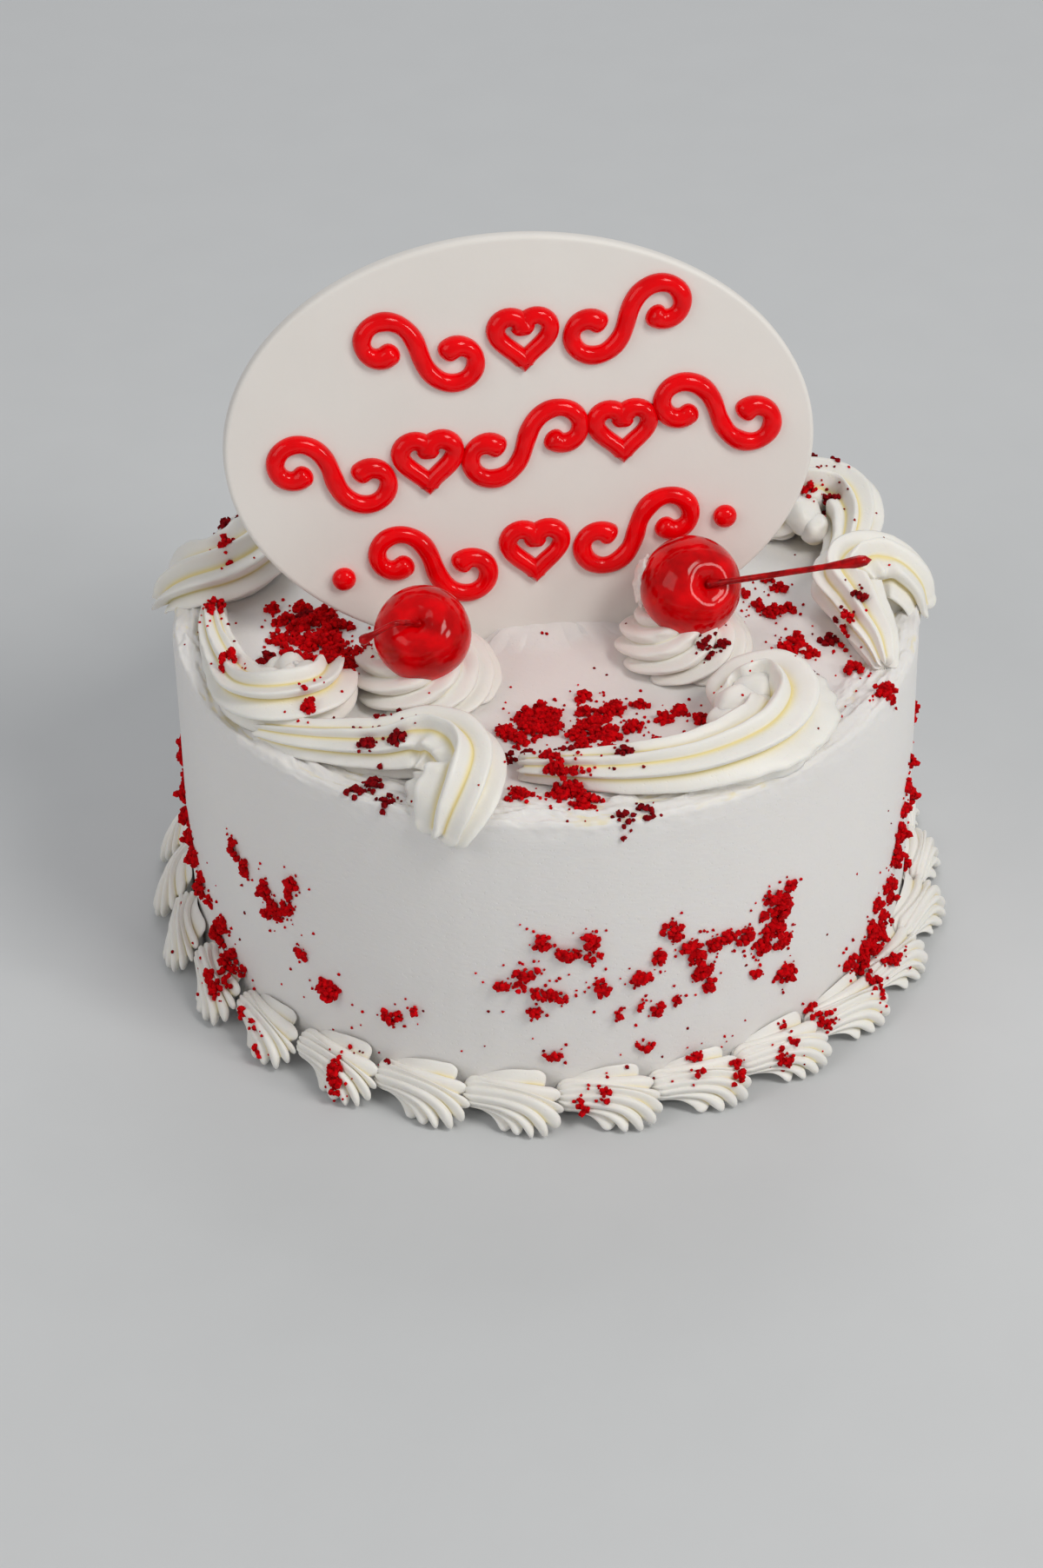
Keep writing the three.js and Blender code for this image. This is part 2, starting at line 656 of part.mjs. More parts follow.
/** A cherry's stem: a thin arc that starts in the dimple and ends in a small knob. */
function stemSolid({ radius, centre, dimple, stemReach, stemRise, stemRadius }, grow = 0) {
  const out = dimple.clone().normalize();
  const start = centre.clone().addScaledVector(out, radius * STEM.start);
  const end = start.clone().add(stemReach);
  const middle = start.clone().lerp(end, STEM.bend).addScaledVector(out, stemRise);
  const path = new THREE.CatmullRomCurve3([start, middle, end]);
  const rings = [];
  for (let i = 0; i <= STEM.steps; i++) {
    const t = i / STEM.steps;
    const run = path.getTangentAt(t);
    const side = new THREE.Vector3().crossVectors(run, new THREE.Vector3(0, 0, 1)).normalize();
    const lift = new THREE.Vector3().crossVectors(side, run);
    const flare = 1 + STEM.flare * (1 - Math.min(1, t / STEM.flareLength));
    const thick = stemRadius * (t > STEM.knobStart ? STEM.knob : flare) + grow;
    const ring = [];
    for (let k = 0; k < STEM.sides; k++) {
      const a = (2 * Math.PI * k) / STEM.sides;
      ring.push(
        path
          .getPointAt(t)
          .addScaledVector(side, thick * Math.cos(a))
          .addScaledVector(lift, thick * Math.sin(a)),
      );
    }
    rings.push(ring);
  }
  return solidThroughRings(rings);
}

// ---------------------------------------------------------------- assembly
const CREAM = new THREE.MeshStandardMaterial({ color: 0xf0eee9, roughness: 0.5, metalness: 0 });
const PIPED = new THREE.MeshStandardMaterial({ color: 0xf6f1e2, roughness: 0.45, metalness: 0 });
const FONDANT = new THREE.MeshStandardMaterial({ color: 0xefece6, roughness: 0.6, metalness: 0 });
const CHERRY_SKIN = new THREE.MeshStandardMaterial({ color: 0xc20a10, roughness: 0.12, metalness: 0 });
const STEM_SKIN = new THREE.MeshStandardMaterial({ color: 0xb5161c, roughness: 0.3, metalness: 0 });

const cake = new THREE.Group();

/** Adds a solid to the cake as a named mesh. */
function add(name, solid, material) {
  const mesh = new THREE.Mesh(geometryOf(solid), material);
  mesh.name = name;
  cake.add(mesh);
}

const cakeCut = turnedCake(CUT_SEGMENTS, 2 * CLEARANCE);
const plaqueCut = plaqueClearance();
const bank = plaqueBank();

const body = Manifold.union([turnedCake(CAKE_SEGMENTS), bank, ...crumbs()]).subtract(plaqueCut);
add("cake", mainBody(body), CREAM);
add("plaque", mainBody(plaqueSolid(), 0), FONDANT);

// A comma's tail is tucked under the head of the next comma clockwise.
COMMAS.forEach((comma, i) => {
  const next = COMMAS[(i + COMMAS.length - 1) % COMMAS.length];
  const rope = commaRope(comma).subtract(commaSkin(next)).subtract(cakeCut);
  add(`comma_${i + 1}`, mainBody(rope), PIPED);
});

for (let i = 0; i < SHELLS.count; i++) {
  add(`shell_${i + 1}`, shellSolid(i), PIPED);
}

SWIRLS.forEach((swirl, i) => {
  const cherry = CHERRIES[i];
  const cherryCut = solidOf(cherryGeometry(cherry, CLEARANCE));
  const stemCut = stemSolid(cherry, CLEARANCE);
  const dome = swirlSolid(swirl).subtract(cherryCut).subtract(bank).subtract(plaqueCut);
  add(`swirl_${swirl.name}`, mainBody(dome), PIPED);
  add(`cherry_${cherry.name}`, solidOf(cherryGeometry(cherry)).subtract(stemCut), CHERRY_SKIN);
  add(`stem_${cherry.name}`, stemSolid(cherry), STEM_SKIN);
});

export default cake;
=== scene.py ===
"""The looks of a round celebration cake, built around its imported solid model.

Smooth whipped cream coats the cake, piped shells run round its foot and piped commas round its top edge.
Two glazed cherries sit on swirls of cream, a sugar-paste plaque stands in the top, and red sponge crumbs
are scattered over all of it. Sizes are in millimetres until a mesh is finished, with Z up and the front
towards -Y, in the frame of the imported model.
"""

import logging
import math
import random
from dataclasses import dataclass, field
from enum import Enum
from typing import Callable, Sequence

import bmesh
import bpy
from mathutils import Matrix, Quaternion, Vector, noise
from mathutils.bvhtree import BVHTree


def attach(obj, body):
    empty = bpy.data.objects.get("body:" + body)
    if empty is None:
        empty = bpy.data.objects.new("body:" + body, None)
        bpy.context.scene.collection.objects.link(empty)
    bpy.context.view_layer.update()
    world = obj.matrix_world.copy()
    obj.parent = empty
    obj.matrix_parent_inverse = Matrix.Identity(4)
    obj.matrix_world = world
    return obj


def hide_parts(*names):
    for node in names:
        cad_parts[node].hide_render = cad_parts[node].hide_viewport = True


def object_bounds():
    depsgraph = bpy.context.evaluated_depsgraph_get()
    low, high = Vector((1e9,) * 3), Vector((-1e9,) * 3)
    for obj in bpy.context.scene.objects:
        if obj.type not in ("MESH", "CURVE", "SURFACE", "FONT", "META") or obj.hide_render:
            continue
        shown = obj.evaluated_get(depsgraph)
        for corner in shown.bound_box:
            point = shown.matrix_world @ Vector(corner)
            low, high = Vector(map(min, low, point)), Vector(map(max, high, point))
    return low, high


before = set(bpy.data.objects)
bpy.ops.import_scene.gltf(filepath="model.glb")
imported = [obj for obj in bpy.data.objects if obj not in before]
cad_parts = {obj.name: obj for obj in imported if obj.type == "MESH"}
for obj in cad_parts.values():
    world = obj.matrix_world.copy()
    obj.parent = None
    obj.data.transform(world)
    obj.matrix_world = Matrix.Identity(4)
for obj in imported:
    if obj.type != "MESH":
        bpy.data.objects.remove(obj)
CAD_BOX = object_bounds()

MM = 0.001
BODY = "root"
# The vertex attribute that marks grooves, dips and undersides, where the cream finishes paint shade.
GROOVE_SHADE = "groove"
UP = Vector((0.0, 0.0, 1.0))

CAKE_RADIUS = 101.0
CAKE_HEIGHT = 93.5
FOOT_TAPER = 1.5

log = logging.getLogger("cake")

Placed = tuple[Vector, float]
Placer = Callable[[float, float], Placed]
Landing = tuple[Vector, Vector]
Lander = Callable[[float, float], Landing | None]


class Slot(Enum):
    """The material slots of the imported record."""

    COAT = "cake_cream"
    PIPED = "piped_cream"
    PLAQUE = "plaque_fondant"
    CHERRY = "cherry_skin"
    STEM = "cherry_stem"


class CommaForm(Enum):
    """Which way a piped comma's head curls."""

    OUTWARD = "outward"
    INWARD = "inward"
    SLIM = "slim"


class CrumbShade(Enum):
    """How well baked a crumb of sponge is."""

    BRIGHT = "bright"
    DARK = "dark"


# ---------------------------------------------------------------- small tools
def lerp(a: float, b: float, t: float) -> float:
    """The value a share t of the way from a to b."""
    return a + (b - a) * t


def smoothstep(low: float, high: float, value: float) -> float:
    """Eases from 0 at low to 1 at high, where low may be the larger of the two."""
    t = min(1.0, max(0.0, (value - low) / (high - low)))
    return t * t * (3.0 - 2.0 * t)


def polar(radius: float, degrees: float, z: float) -> Vector:
    """A point at a radius and an angle round the cake's axis."""
    angle = math.radians(degrees)
    return Vector((radius * math.cos(angle), radius * math.sin(angle), z))


def along_path(points: Sequence[Vector], t: float) -> Vector:
    """A point on the smooth curve through evenly spaced points.

    Args:
        points: The points that the curve passes through.
        t: How far along the curve, from 0 to 1.

    Returns:
        The point on the curve.
    """
    spans = len(points) - 1
    at = min(1.0, max(0.0, t)) * spans
    i = min(int(at), spans - 1)
    f = at - i
    before = points[i - 1] if i else 2 * points[0] - points[1]
    after = points[i + 2] if i + 2 <= spans else 2 * points[spans] - points[spans - 1]
    start, end = points[i], points[i + 1]
    return 0.5 * (
        2 * start
        + (end - before) * f
        + (2 * before - 5 * start + 4 * end - after) * f**2
        + (3 * start - before - 3 * end + after) * f**3
    )


def rib_crest(fraction: float, roundness: float, lean: float) -> float:
    """How high a piped rib stands at a place across it.

    Args:
        fraction: The place across the rib, from 0 to 1.
        roundness: Near 1 gives a sharp crest, 2 a round one, and more a flat one.
        lean: 1 keeps the crest in the middle, and more moves it towards 1.

    Returns:
        1 on the crest and 0 in the grooves beside it.
    """
    return max(0.0, 1.0 - abs(2.0 * fraction**lean - 1.0) ** roundness)


def wander(place: Vector, scale: float, seed: float) -> float:
    """Smooth noise from -1 to 1 at a place, with bumps of about scale millimetres."""
    return noise.noise(place / scale + Vector((seed * 7.3, seed * 3.1, seed * 5.7)))


def shaped_grid(around: int, along: int, place: Placer) -> bmesh.types.BMesh:
    """A closed skin made by bending a flat grid into a tube with pinched ends.

    Args:
        around: Faces round the tube.
        along: Faces from one end to the other.
        place: Gives the place, in millimetres, and the depth in a groove of a point of the grid.

    Returns:
        The skin, with its seam and its ends merged.
    """
    bm = bmesh.new()
    groove = bm.verts.layers.float.new(GROOVE_SHADE)
    bmesh.ops.create_grid(bm, x_segments=around, y_segments=along, size=0.5)
    for vert in bm.verts:
        u, v = vert.co.x + 0.5, vert.co.y + 0.5
        vert.co, vert[groove] = place(u, v)
    bmesh.ops.remove_doubles(bm, verts=bm.verts, dist=1e-3)
    bmesh.ops.recalc_face_normals(bm, faces=bm.faces)
    return bm


def merged(parts: Sequence[bmesh.types.BMesh]) -> bmesh.types.BMesh:
    """All the parts in one bmesh; the parts are freed.

    Args:
        parts: The bmeshes to join.

    Returns:
        The joined bmesh.
    """
    whole = bmesh.new()
    scratch = bpy.data.meshes.new("scratch")
    for part in parts:
        part.to_mesh(scratch)
        whole.from_mesh(scratch)
        part.free()
    bpy.data.meshes.remove(scratch)
    return whole


def finished(
    bm: bmesh.types.BMesh,
    name: str,
    material: bpy.types.Material,
    nodes: Sequence[str] = (),
) -> bpy.types.Object:
    """Turns a bmesh in millimetres into a piece of the object.

    Args:
        bm: The shape, which is freed.
        name: The piece's name.
        material: Its finish.
        nodes: The CAD nodes that it stands for.

    Returns:
        The new object, which rides on the object's body.
    """
    bmesh.ops.scale(bm, vec=Vector((MM, MM, MM)), verts=bm.verts)
    mesh = bpy.data.meshes.new(name)
    bm.to_mesh(mesh)
    bm.free()
    mesh.polygons.foreach_set("use_smooth", [True] * len(mesh.polygons))
    mesh.materials.append(material)
    piece = bpy.data.objects.new(name, mesh)
    bpy.context.scene.collection.objects.link(piece)
    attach(piece, BODY)
    if nodes:
        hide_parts(*nodes)
    log.info("%s: %d faces", name, len(mesh.polygons))
    return piece


# ---------------------------------------------------------------- finishes
def linear(colour: str) -> tuple[float, float, float, float]:
    """A hex sRGB colour such as #F4EFE6 as linear red, green, blue and alpha.

    Args:
        colour: The colour, as # and six hex digits.

    Returns:
        The four channels, each from 0 to 1.
    """
    channels = [int(colour[i : i + 2], 16) / 255 for i in (1, 3, 5)]
    red, green, blue = (
        c / 12.92 if c <= 0.04045 else ((c + 0.055) / 1.055) ** 2.4 for c in channels
    )
    return red, green, blue, 1.0


def add_node(
    tree: bpy.types.NodeTree,
    kind: str,
    inputs: dict[str | int, object] | None = None,
    **settings: object,
) -> bpy.types.Node:
    """Adds one node with its settings and its links.

    Args:
        tree: The node tree to add it to.
        kind: The node's type, such as ShaderNodeBump.
        inputs: A value for each input, or the output socket to link to it.
        **settings: The node's own properties.

    Returns:
        The new node.
    """
    node = tree.nodes.new(kind)
    for key, value in settings.items():
        setattr(node, key, value)
    for key, value in (inputs or {}).items():
        if isinstance(value, bpy.types.NodeSocket):
            tree.links.new(value, node.inputs[key])
        else:
            node.inputs[key].default_value = value
    return node


def new_material(name: str) -> tuple[bpy.types.Material, bpy.types.NodeTree, bpy.types.Node]:
    """An empty node material.

    Args:
        name: The material's name.

    Returns:
        The material, its node tree and its shader, already linked to the output.
    """
    material = bpy.data.materials.new(name)
    material.use_nodes = True
    tree = material.node_tree
    tree.nodes.clear()
    shader = add_node(tree, "ShaderNodeBsdfPrincipled")
    add_node(tree, "ShaderNodeOutputMaterial", {"Surface": shader.outputs["BSDF"]})
    return material, tree, shader


@dataclass(frozen=True)
class WhippedCream:
    """Whipped dairy cream: milky, faintly see-through, with tiny burst air bubbles.

    The cream scatters light a millimetre deep, which softens its edges. Its grooves are painted a pale
    butter
    yellow: painted shade, for the warm light that bounces and the shadow there.
    """

    name: str = "whipped_cream"
    crest: str = "#F7F5F0"
    # Painted shade: the pale butter yellow painted into the grooves for the warm shadow there.
    groove_shade: str = "#F0DE98"
    cloud: str = "#EFECE6"
    cloud_size: float = 11.0
    bubble_size: float = 1.5
    bubble_depth: float = 0.05
    drag_width: float = 0.8
    drag_depth: float = 0.04
    stretch: tuple[float, float, float] = (1.0, 1.0, 1.0)
    roughness: float = 0.44
    scatter: float = 0.2
    # How far the painted groove shade keeps to the deepest part of each groove.
    groove_shade_narrowing: float = 9.0

    def material(self) -> bpy.types.Material:
        """Builds the node material.

        Returns:
            The finished material.
        """
        material, tree, shader = new_material(self.name)
        where = add_node(tree, "ShaderNodeTexCoord").outputs["Object"]
        depth = add_node(tree, "ShaderNodeAttribute", attribute_name=GROOVE_SHADE)
        cloud = add_node(
            tree,
            "ShaderNodeTexNoise",
            {"Vector": where, "Scale": 1 / (self.cloud_size * MM), "Detail": 3.0},
        )
        tint = add_node(
            tree,
            "ShaderNodeMix",
            {
                "Factor": cloud.outputs["Fac"],
                "A": linear(self.crest),
                "B": linear(self.cloud),
            },
            data_type="RGBA",
        )
        # Painted shade: the groove attribute, raised to a power, mixes the painted yellow shade into the
        # deepest grooves.
        deep = add_node(
            tree,
            "ShaderNodeMath",
            {0: depth.outputs["Fac"], 1: self.groove_shade_narrowing},
            operation="POWER",
            use_clamp=True,
        )
        colour = add_node(
            tree,
            "ShaderNodeMix",
            {
                "Factor": deep.outputs[0],
                "A": tint.outputs["Result"],
                "B": linear(self.groove_shade),
            },
            data_type="RGBA",
        )
        drawn = add_node(
            tree, "ShaderNodeMapping", {"Vector": where, "Scale": self.stretch}
        )
        drag = add_node(
            tree,
            "ShaderNodeTexNoise",
            {"Vector": drawn.outputs[0], "Scale": 1 / (self.drag_width * MM), "Detail": 4.0},
        )
        bubbles = add_node(
            tree,
            "ShaderNodeTexVoronoi",
            {"Vector": where, "Scale": 1 / (self.bubble_size * MM)},
        )
        burst = add_node(
            tree,
            "ShaderNodeMapRange",
            {"Value": bubbles.outputs["Distance"], "From Min": 0.05, "From Max": 0.22},
        )
        rubbed = add_node(
            tree,
            "ShaderNodeBump",
            {"Height": drag.outputs["Fac"], "Distance": self.drag_depth * MM, "Strength": 1.0},
        )
        pitted = add_node(
            tree,
            "ShaderNodeBump",
            {
                "Height": burst.outputs["Result"],
                "Distance": self.bubble_depth * MM,
                "Strength": 1.0,
                "Normal": rubbed.outputs[0],
            },
        )
        tree.links.new(colour.outputs["Result"], shader.inputs["Base Color"])
        tree.links.new(pitted.outputs[0], shader.inputs["Normal"])
        shader.inputs["Roughness"].default_value = self.roughness
        shader.inputs["IOR"].default_value = 1.45
        shader.inputs["Subsurface Weight"].default_value = self.scatter
        shader.inputs["Subsurface Radius"].default_value = (1.0, 0.85, 0.6)
        shader.inputs["Subsurface Scale"].default_value = 1.2 * MM
        return material


@dataclass(frozen=True)
class SugarPaste:
    """Rolled sugar paste: a smooth, dense, slightly warm white with a dry sheen and faint dimples."""

    name: str = "sugar_paste"
    face: str = "#F1EDE8"
    shade: str = "#E9E4DF"
    patch_size: float = 26.0
    dimple_size: float = 3.2
    roughness: float = 0.5

    def material(self) -> bpy.types.Material:
        """Builds the node material.

        Returns:
            The finished material.
        """
        material, tree, shader = new_material(self.name)
        where = add_node(tree, "ShaderNodeTexCoord").outputs["Object"]
        patches = add_node(
            tree,
            "ShaderNodeTexNoise",
            {"Vector": where, "Scale": 1 / (self.patch_size * MM), "Detail": 5.0},
        )
        colour = add_node(
            tree,
            "ShaderNodeMix",
            {
                "Factor": patches.outputs["Fac"],
                "A": linear(self.face),
                "B": linear(self.shade),
            },
            data_type="RGBA",
        )
        dimples = add_node(
            tree,
            "ShaderNodeTexNoise",
            {"Vector": where, "Scale": 1 / (self.dimple_size * MM), "Detail": 6.0},
        )
        skin = add_node(
            tree,
            "ShaderNodeBump",
            {"Height": dimples.outputs["Fac"], "Distance": 0.05 * MM, "Strength": 1.0},
        )
        tree.links.new(colour.outputs["Result"], shader.inputs["Base Color"])
        tree.links.new(skin.outputs[0], shader.inputs["Normal"])
        shader.inputs["Roughness"].default_value = self.roughness
        shader.inputs["IOR"].default_value = 1.5
        shader.inputs["Subsurface Weight"].default_value = 0.1
        shader.inputs["Subsurface Radius"].default_value = (1.0, 0.9, 0.8)
        shader.inputs["Subsurface Scale"].default_value = 0.8 * MM
        return material


@dataclass(frozen=True)
class GlossySyrup:
    """A wet sugar syrup skin over red flesh or gel, as on candied cherries and piping gel.

    The clear wet layer gives sharp highlights over a deep, slightly uneven red.
    """

    name: str
    body: str
    deep: str
    blotch_size: float
    roughness: float
    scatter: float
    ripple: float

    def material(self) -> bpy.types.Material:
        """Builds the node material.

        Returns:
            The finished material.
        """
        material, tree, shader = new_material(self.name)
        where = add_node(tree, "ShaderNodeTexCoord").outputs["Object"]
        blotch = add_node(
            tree,
            "ShaderNodeTexNoise",
            {"Vector": where, "Scale": 1 / (self.blotch_size * MM), "Detail": 3.0},
        )
        spread = add_node(
            tree,
            "ShaderNodeMapRange",
            {"Value": blotch.outputs["Fac"], "From Min": 0.35, "From Max": 0.65},
        )
        colour = add_node(
            tree,
            "ShaderNodeMix",
            {
                "Factor": spread.outputs["Result"],
                "A": linear(self.body),
                "B": linear(self.deep),
            },
            data_type="RGBA",
        )
        waves = add_node(
            tree,
            "ShaderNodeTexNoise",
            {"Vector": where, "Scale": 1 / (self.blotch_size * 0.5 * MM), "Detail": 2.0},
        )
        skin = add_node(
            tree,
            "ShaderNodeBump",
            {"Height": waves.outputs["Fac"], "Distance": self.ripple * MM, "Strength": 1.0},
        )
        tree.links.new(colour.outputs["Result"], shader.inputs["Base Color"])
        tree.links.new(skin.outputs[0], shader.inputs["Normal"])
        shader.inputs["Roughness"].default_value = self.roughness
        shader.inputs["IOR"].default_value = 1.42
        shader.inputs["Specular IOR Level"].default_value = 0.1
        shader.inputs["Subsurface Weight"].default_value = self.scatter
        shader.inputs["Subsurface Radius"].default_value = (1.0, 0.04, 0.03)
        shader.inputs["Subsurface Scale"].default_value = 2.5 * MM
        shader.inputs["Coat Weight"].default_value = 0.6
        shader.inputs["Coat Roughness"].default_value = 0.03
        shader.inputs["Coat IOR"].default_value = 1.33
        return material


@dataclass(frozen=True)
class RedSponge:
    """Crumbled red sponge cake: dry, open and rough, so it shows hardly any highlight."""

    name: str
    crumb: str
    pore: str
    grain_size: float = 1.1

    def material(self) -> bpy.types.Material:
        """Builds the node material.

        Returns:
            The finished material.
        """
        material, tree, shader = new_material(self.name)
        where = add_node(tree, "ShaderNodeTexCoord").outputs["Object"]
        grains = add_node(
            tree,
            "ShaderNodeTexNoise",
            {"Vector": where, "Scale": 1 / (self.grain_size * MM), "Detail": 3.0},
        )
        spread = add_node(
            tree,
            "ShaderNodeMapRange",
            {"Value": grains.outputs["Fac"], "From Min": 0.36, "From Max": 0.62},
        )
        colour = add_node(
            tree,
            "ShaderNodeMix",
            {
                "Factor": spread.outputs["Result"],
                "A": linear(self.pore),
                "B": linear(self.crumb),
            },
            data_type="RGBA",
        )
        tree.links.new(colour.outputs["Result"], shader.inputs["Base Color"])
        shader.inputs["Roughness"].default_value = 0.8
        shader.inputs["IOR"].default_value = 1.4
        shader.inputs["Specular IOR Level"].default_value = 0.12
        return material


@dataclass(frozen=True)
class StudioPaper:
    """Matt background paper: a pale, even grey."""

    name: str = "studio_paper"
    paper: str = "#D3D5D7"
    fibre: str = "#CFD1D3"

    def material(self) -> bpy.types.Material:
        """Builds the node material.

        Returns:
            The finished material.
        """
        material, tree, shader = new_material(self.name)
        where = add_node(tree, "ShaderNodeTexCoord").outputs["Object"]
        fibres = add_node(
            tree, "ShaderNodeTexNoise", {"Vector": where, "Scale": 40.0, "Detail": 4.0}
        )
        colour = add_node(
            tree,
            "ShaderNodeMix",
            {
                "Factor": fibres.outputs["Fac"],
                "A": linear(self.paper),
                "B": linear(self.fibre),
            },
            data_type="RGBA",
        )
        tree.links.new(colour.outputs["Result"], shader.inputs["Base Color"])
        shader.inputs["Roughness"].default_value = 0.9
        return material


# ---------------------------------------------------------------- the cream coat
@dataclass
class CreamCoat:
    """The smooth coat of cream over the cake, with its rough edge and the bank at the plaque's foot."""

    around: int = 720
    rim_inner: float = 86.0
    lip: float = 1.1
    smear_height: float = 1.8
    smear_length: float = 20.0
    smear_width: float = 2.3
    wall_ripple: float = 0.3
    plain_radius: float = 70.0
    edge_depth: float = 7.0
    # How strongly the dips between the dragged smears take the painted shade.
    groove_shade_tint: float = 0.94
    bank_centre: Vector = field(default_factory=lambda: Vector((-2.8, -10.5, CAKE_HEIGHT - 0.6)))
    bank_size: Vector = field(default_factory=lambda: Vector((25.0, 6.5, 3.4)))
    bank_turn: float = 8.0

    def outline(self) -> list[tuple[float, float]]:
        """The coat's radius and height from the middle of the top, over the edge and under the foot.

        Returns:
            Pairs of a radius and a height.
        """
        stops = [
            (0.0, CAKE_HEIGHT, 1),
            (66.0, CAKE_HEIGHT, 22),
            (self.rim_inner, CAKE_HEIGHT, 12),
            (96.0, CAKE_HEIGHT + self.lip, 18),
            (100.3, CAKE_HEIGHT + self.lip * 0.75, 9),
            (101.0, CAKE_HEIGHT - 0.5, 3),
            (101.2, CAKE_HEIGHT - 5.0, 7),
            (100.9, 42.0, 20),
            (CAKE_RADIUS - FOOT_TAPER, 0.0, 16),
            (0.0, 0.0, 3),
        ]
        points = [stops[0][:2]]
        for (r0, z0, _), (r1, z1, steps) in zip(stops, stops[1:]):
            points += [
                (lerp(r0, r1, i / steps), lerp(z0, z1, i / steps))
                for i in range(1, steps + 1)
            ]
        return points

    def smear(self, radius: float, angle: float) -> float:
        """How high the dragged cream stands at a place near the edge of the top.

        Args:
            radius: The distance from the cake's axis.
            angle: The angle round it, in radians.

        Returns:
            The height of the smear above the plain coat.
        """
        band = smoothstep(self.rim_inner - 3, self.rim_inner + 4, radius)
        turn = Vector((math.cos(angle), math.sin(angle), 0.0)) * CAKE_RADIUS / self.smear_length
        low = noise.noise(turn + Vector((0, 0, radius / (2.4 * self.smear_width))))
        drawn = noise.noise(turn * 1.7 + Vector((4.0, 9.0, radius / self.smear_width + 2.2 * low)))
        sheet = smoothstep(-0.06, 0.04, drawn) * (0.55 + 0.45 * low)
        fine = noise.noise(turn * 7 + Vector((1.0, 5.0, radius / 0.8)))
        return band * self.smear_height * (0.7 * sheet + 0.3 * low + 0.28 * fine)

    def moved(self, point: Vector) -> Vector:
        """The place of a point of the plain coat after the cream was smoothed and dragged by hand.

        Args:
            point: A point of the plain coat.

        Returns:
            Where that point is afterwards.
        """
        radius = math.hypot(point.x, point.y)
        angle = math.atan2(point.y, point.x)
        outward = Vector((math.cos(angle), math.sin(angle), 0.0))
        if point.z > CAKE_HEIGHT - self.edge_depth and radius > self.plain_radius:
            edge = smoothstep(CAKE_HEIGHT - 6, CAKE_HEIGHT - 0.5, point.z)
            torn = wander(point, 2.2, 3) * 0.5 + wander(point, 7.0, 4) * 0.5
            over = smoothstep(97.0, 99.5, radius)
            point = point + outward * 0.6 * torn * edge * over
            point.z += self.smear(radius, angle) * edge * (1 - 0.45 * over)
        elif radius > self.plain_radius:
            bands = wander(Vector((angle * 16, point.z / 60, 0)), 1.0, 5)
            slow = wander(point, 38.0, 6)
            inner = smoothstep(0, 8, point.z) * smoothstep(0, 10, CAKE_HEIGHT - point.z)
            point = point - outward * self.wall_ripple * inner * (0.35 + 0.35 * bands + 0.3 * slow)
        else:
            point.z += 0.3 * wander(point, 24.0, 8) + 0.12 * wander(point, 6.0, 9)
        return point

    def bank(self, point: Vector) -> float:
        """How far the bank of cream at the plaque's foot rises above a point of the top.

        Args:
            point: A point of the plain top.

        Returns:
            The rise, or 0 where there is no bank.
        """
        turned = Matrix.Rotation(math.radians(-self.bank_turn), 3, "Z") @ (point - self.bank_centre)
        ragged = 1 + 0.22 * wander(point, 5.0, 12)
        reach = (turned.x / self.bank_size.x) ** 2 + (turned.y / self.bank_size.y * ragged) ** 2
        if reach >= 1:
            return 0.0
        top = self.bank_centre.z + self.bank_size.z * math.sqrt(1 - reach)
        return max(0.0, top * (1 + 0.004 * wander(point, 3.0, 13)) - point.z)

    def build(self, material: bpy.types.Material) -> bpy.types.Object:
        """Spins the coat, roughs it up by hand, and dresses it.

        Args:
            material: The smoothed cream.

        Returns:
            The finished piece.
        """
        bm = bmesh.new()
        groove = bm.verts.layers.float.new(GROOVE_SHADE)
        verts = [bm.verts.new((radius, 0.0, z)) for radius, z in self.outline()]
        edges = [bm.edges.new(pair) for pair in zip(verts, verts[1:])]
        bmesh.ops.spin(
            bm,
            geom=verts + edges,
            cent=(0, 0, 0),
            axis=(0, 0, 1),
            angle=2 * math.pi,
            steps=self.around,
            use_merge=True,
        )
        bmesh.ops.remove_doubles(bm, verts=bm.verts, dist=1e-3)
        bmesh.ops.recalc_face_normals(bm, faces=bm.faces)
        for vert in bm.verts:
            plain = vert.co.copy()
            if plain.z <= 0:
                continue
            vert.co = self.moved(plain)
            if plain.z >= CAKE_HEIGHT - 0.1:
                vert.co.z += self.bank(plain)
            radius = math.hypot(plain.x, plain.y)
            # Painted shade: the dips of the dragged cream at the top's edge are marked for the finish's
            # painted yellow shade.
            if plain.z > CAKE_HEIGHT - 0.5 and radius > self.rim_inner:
                height = vert.co.z - plain.z
                vert[groove] = self.groove_shade_tint * smoothstep(0.35, -0.2, height)
        return finished(bm, "cream_coat", material, ["cake"])


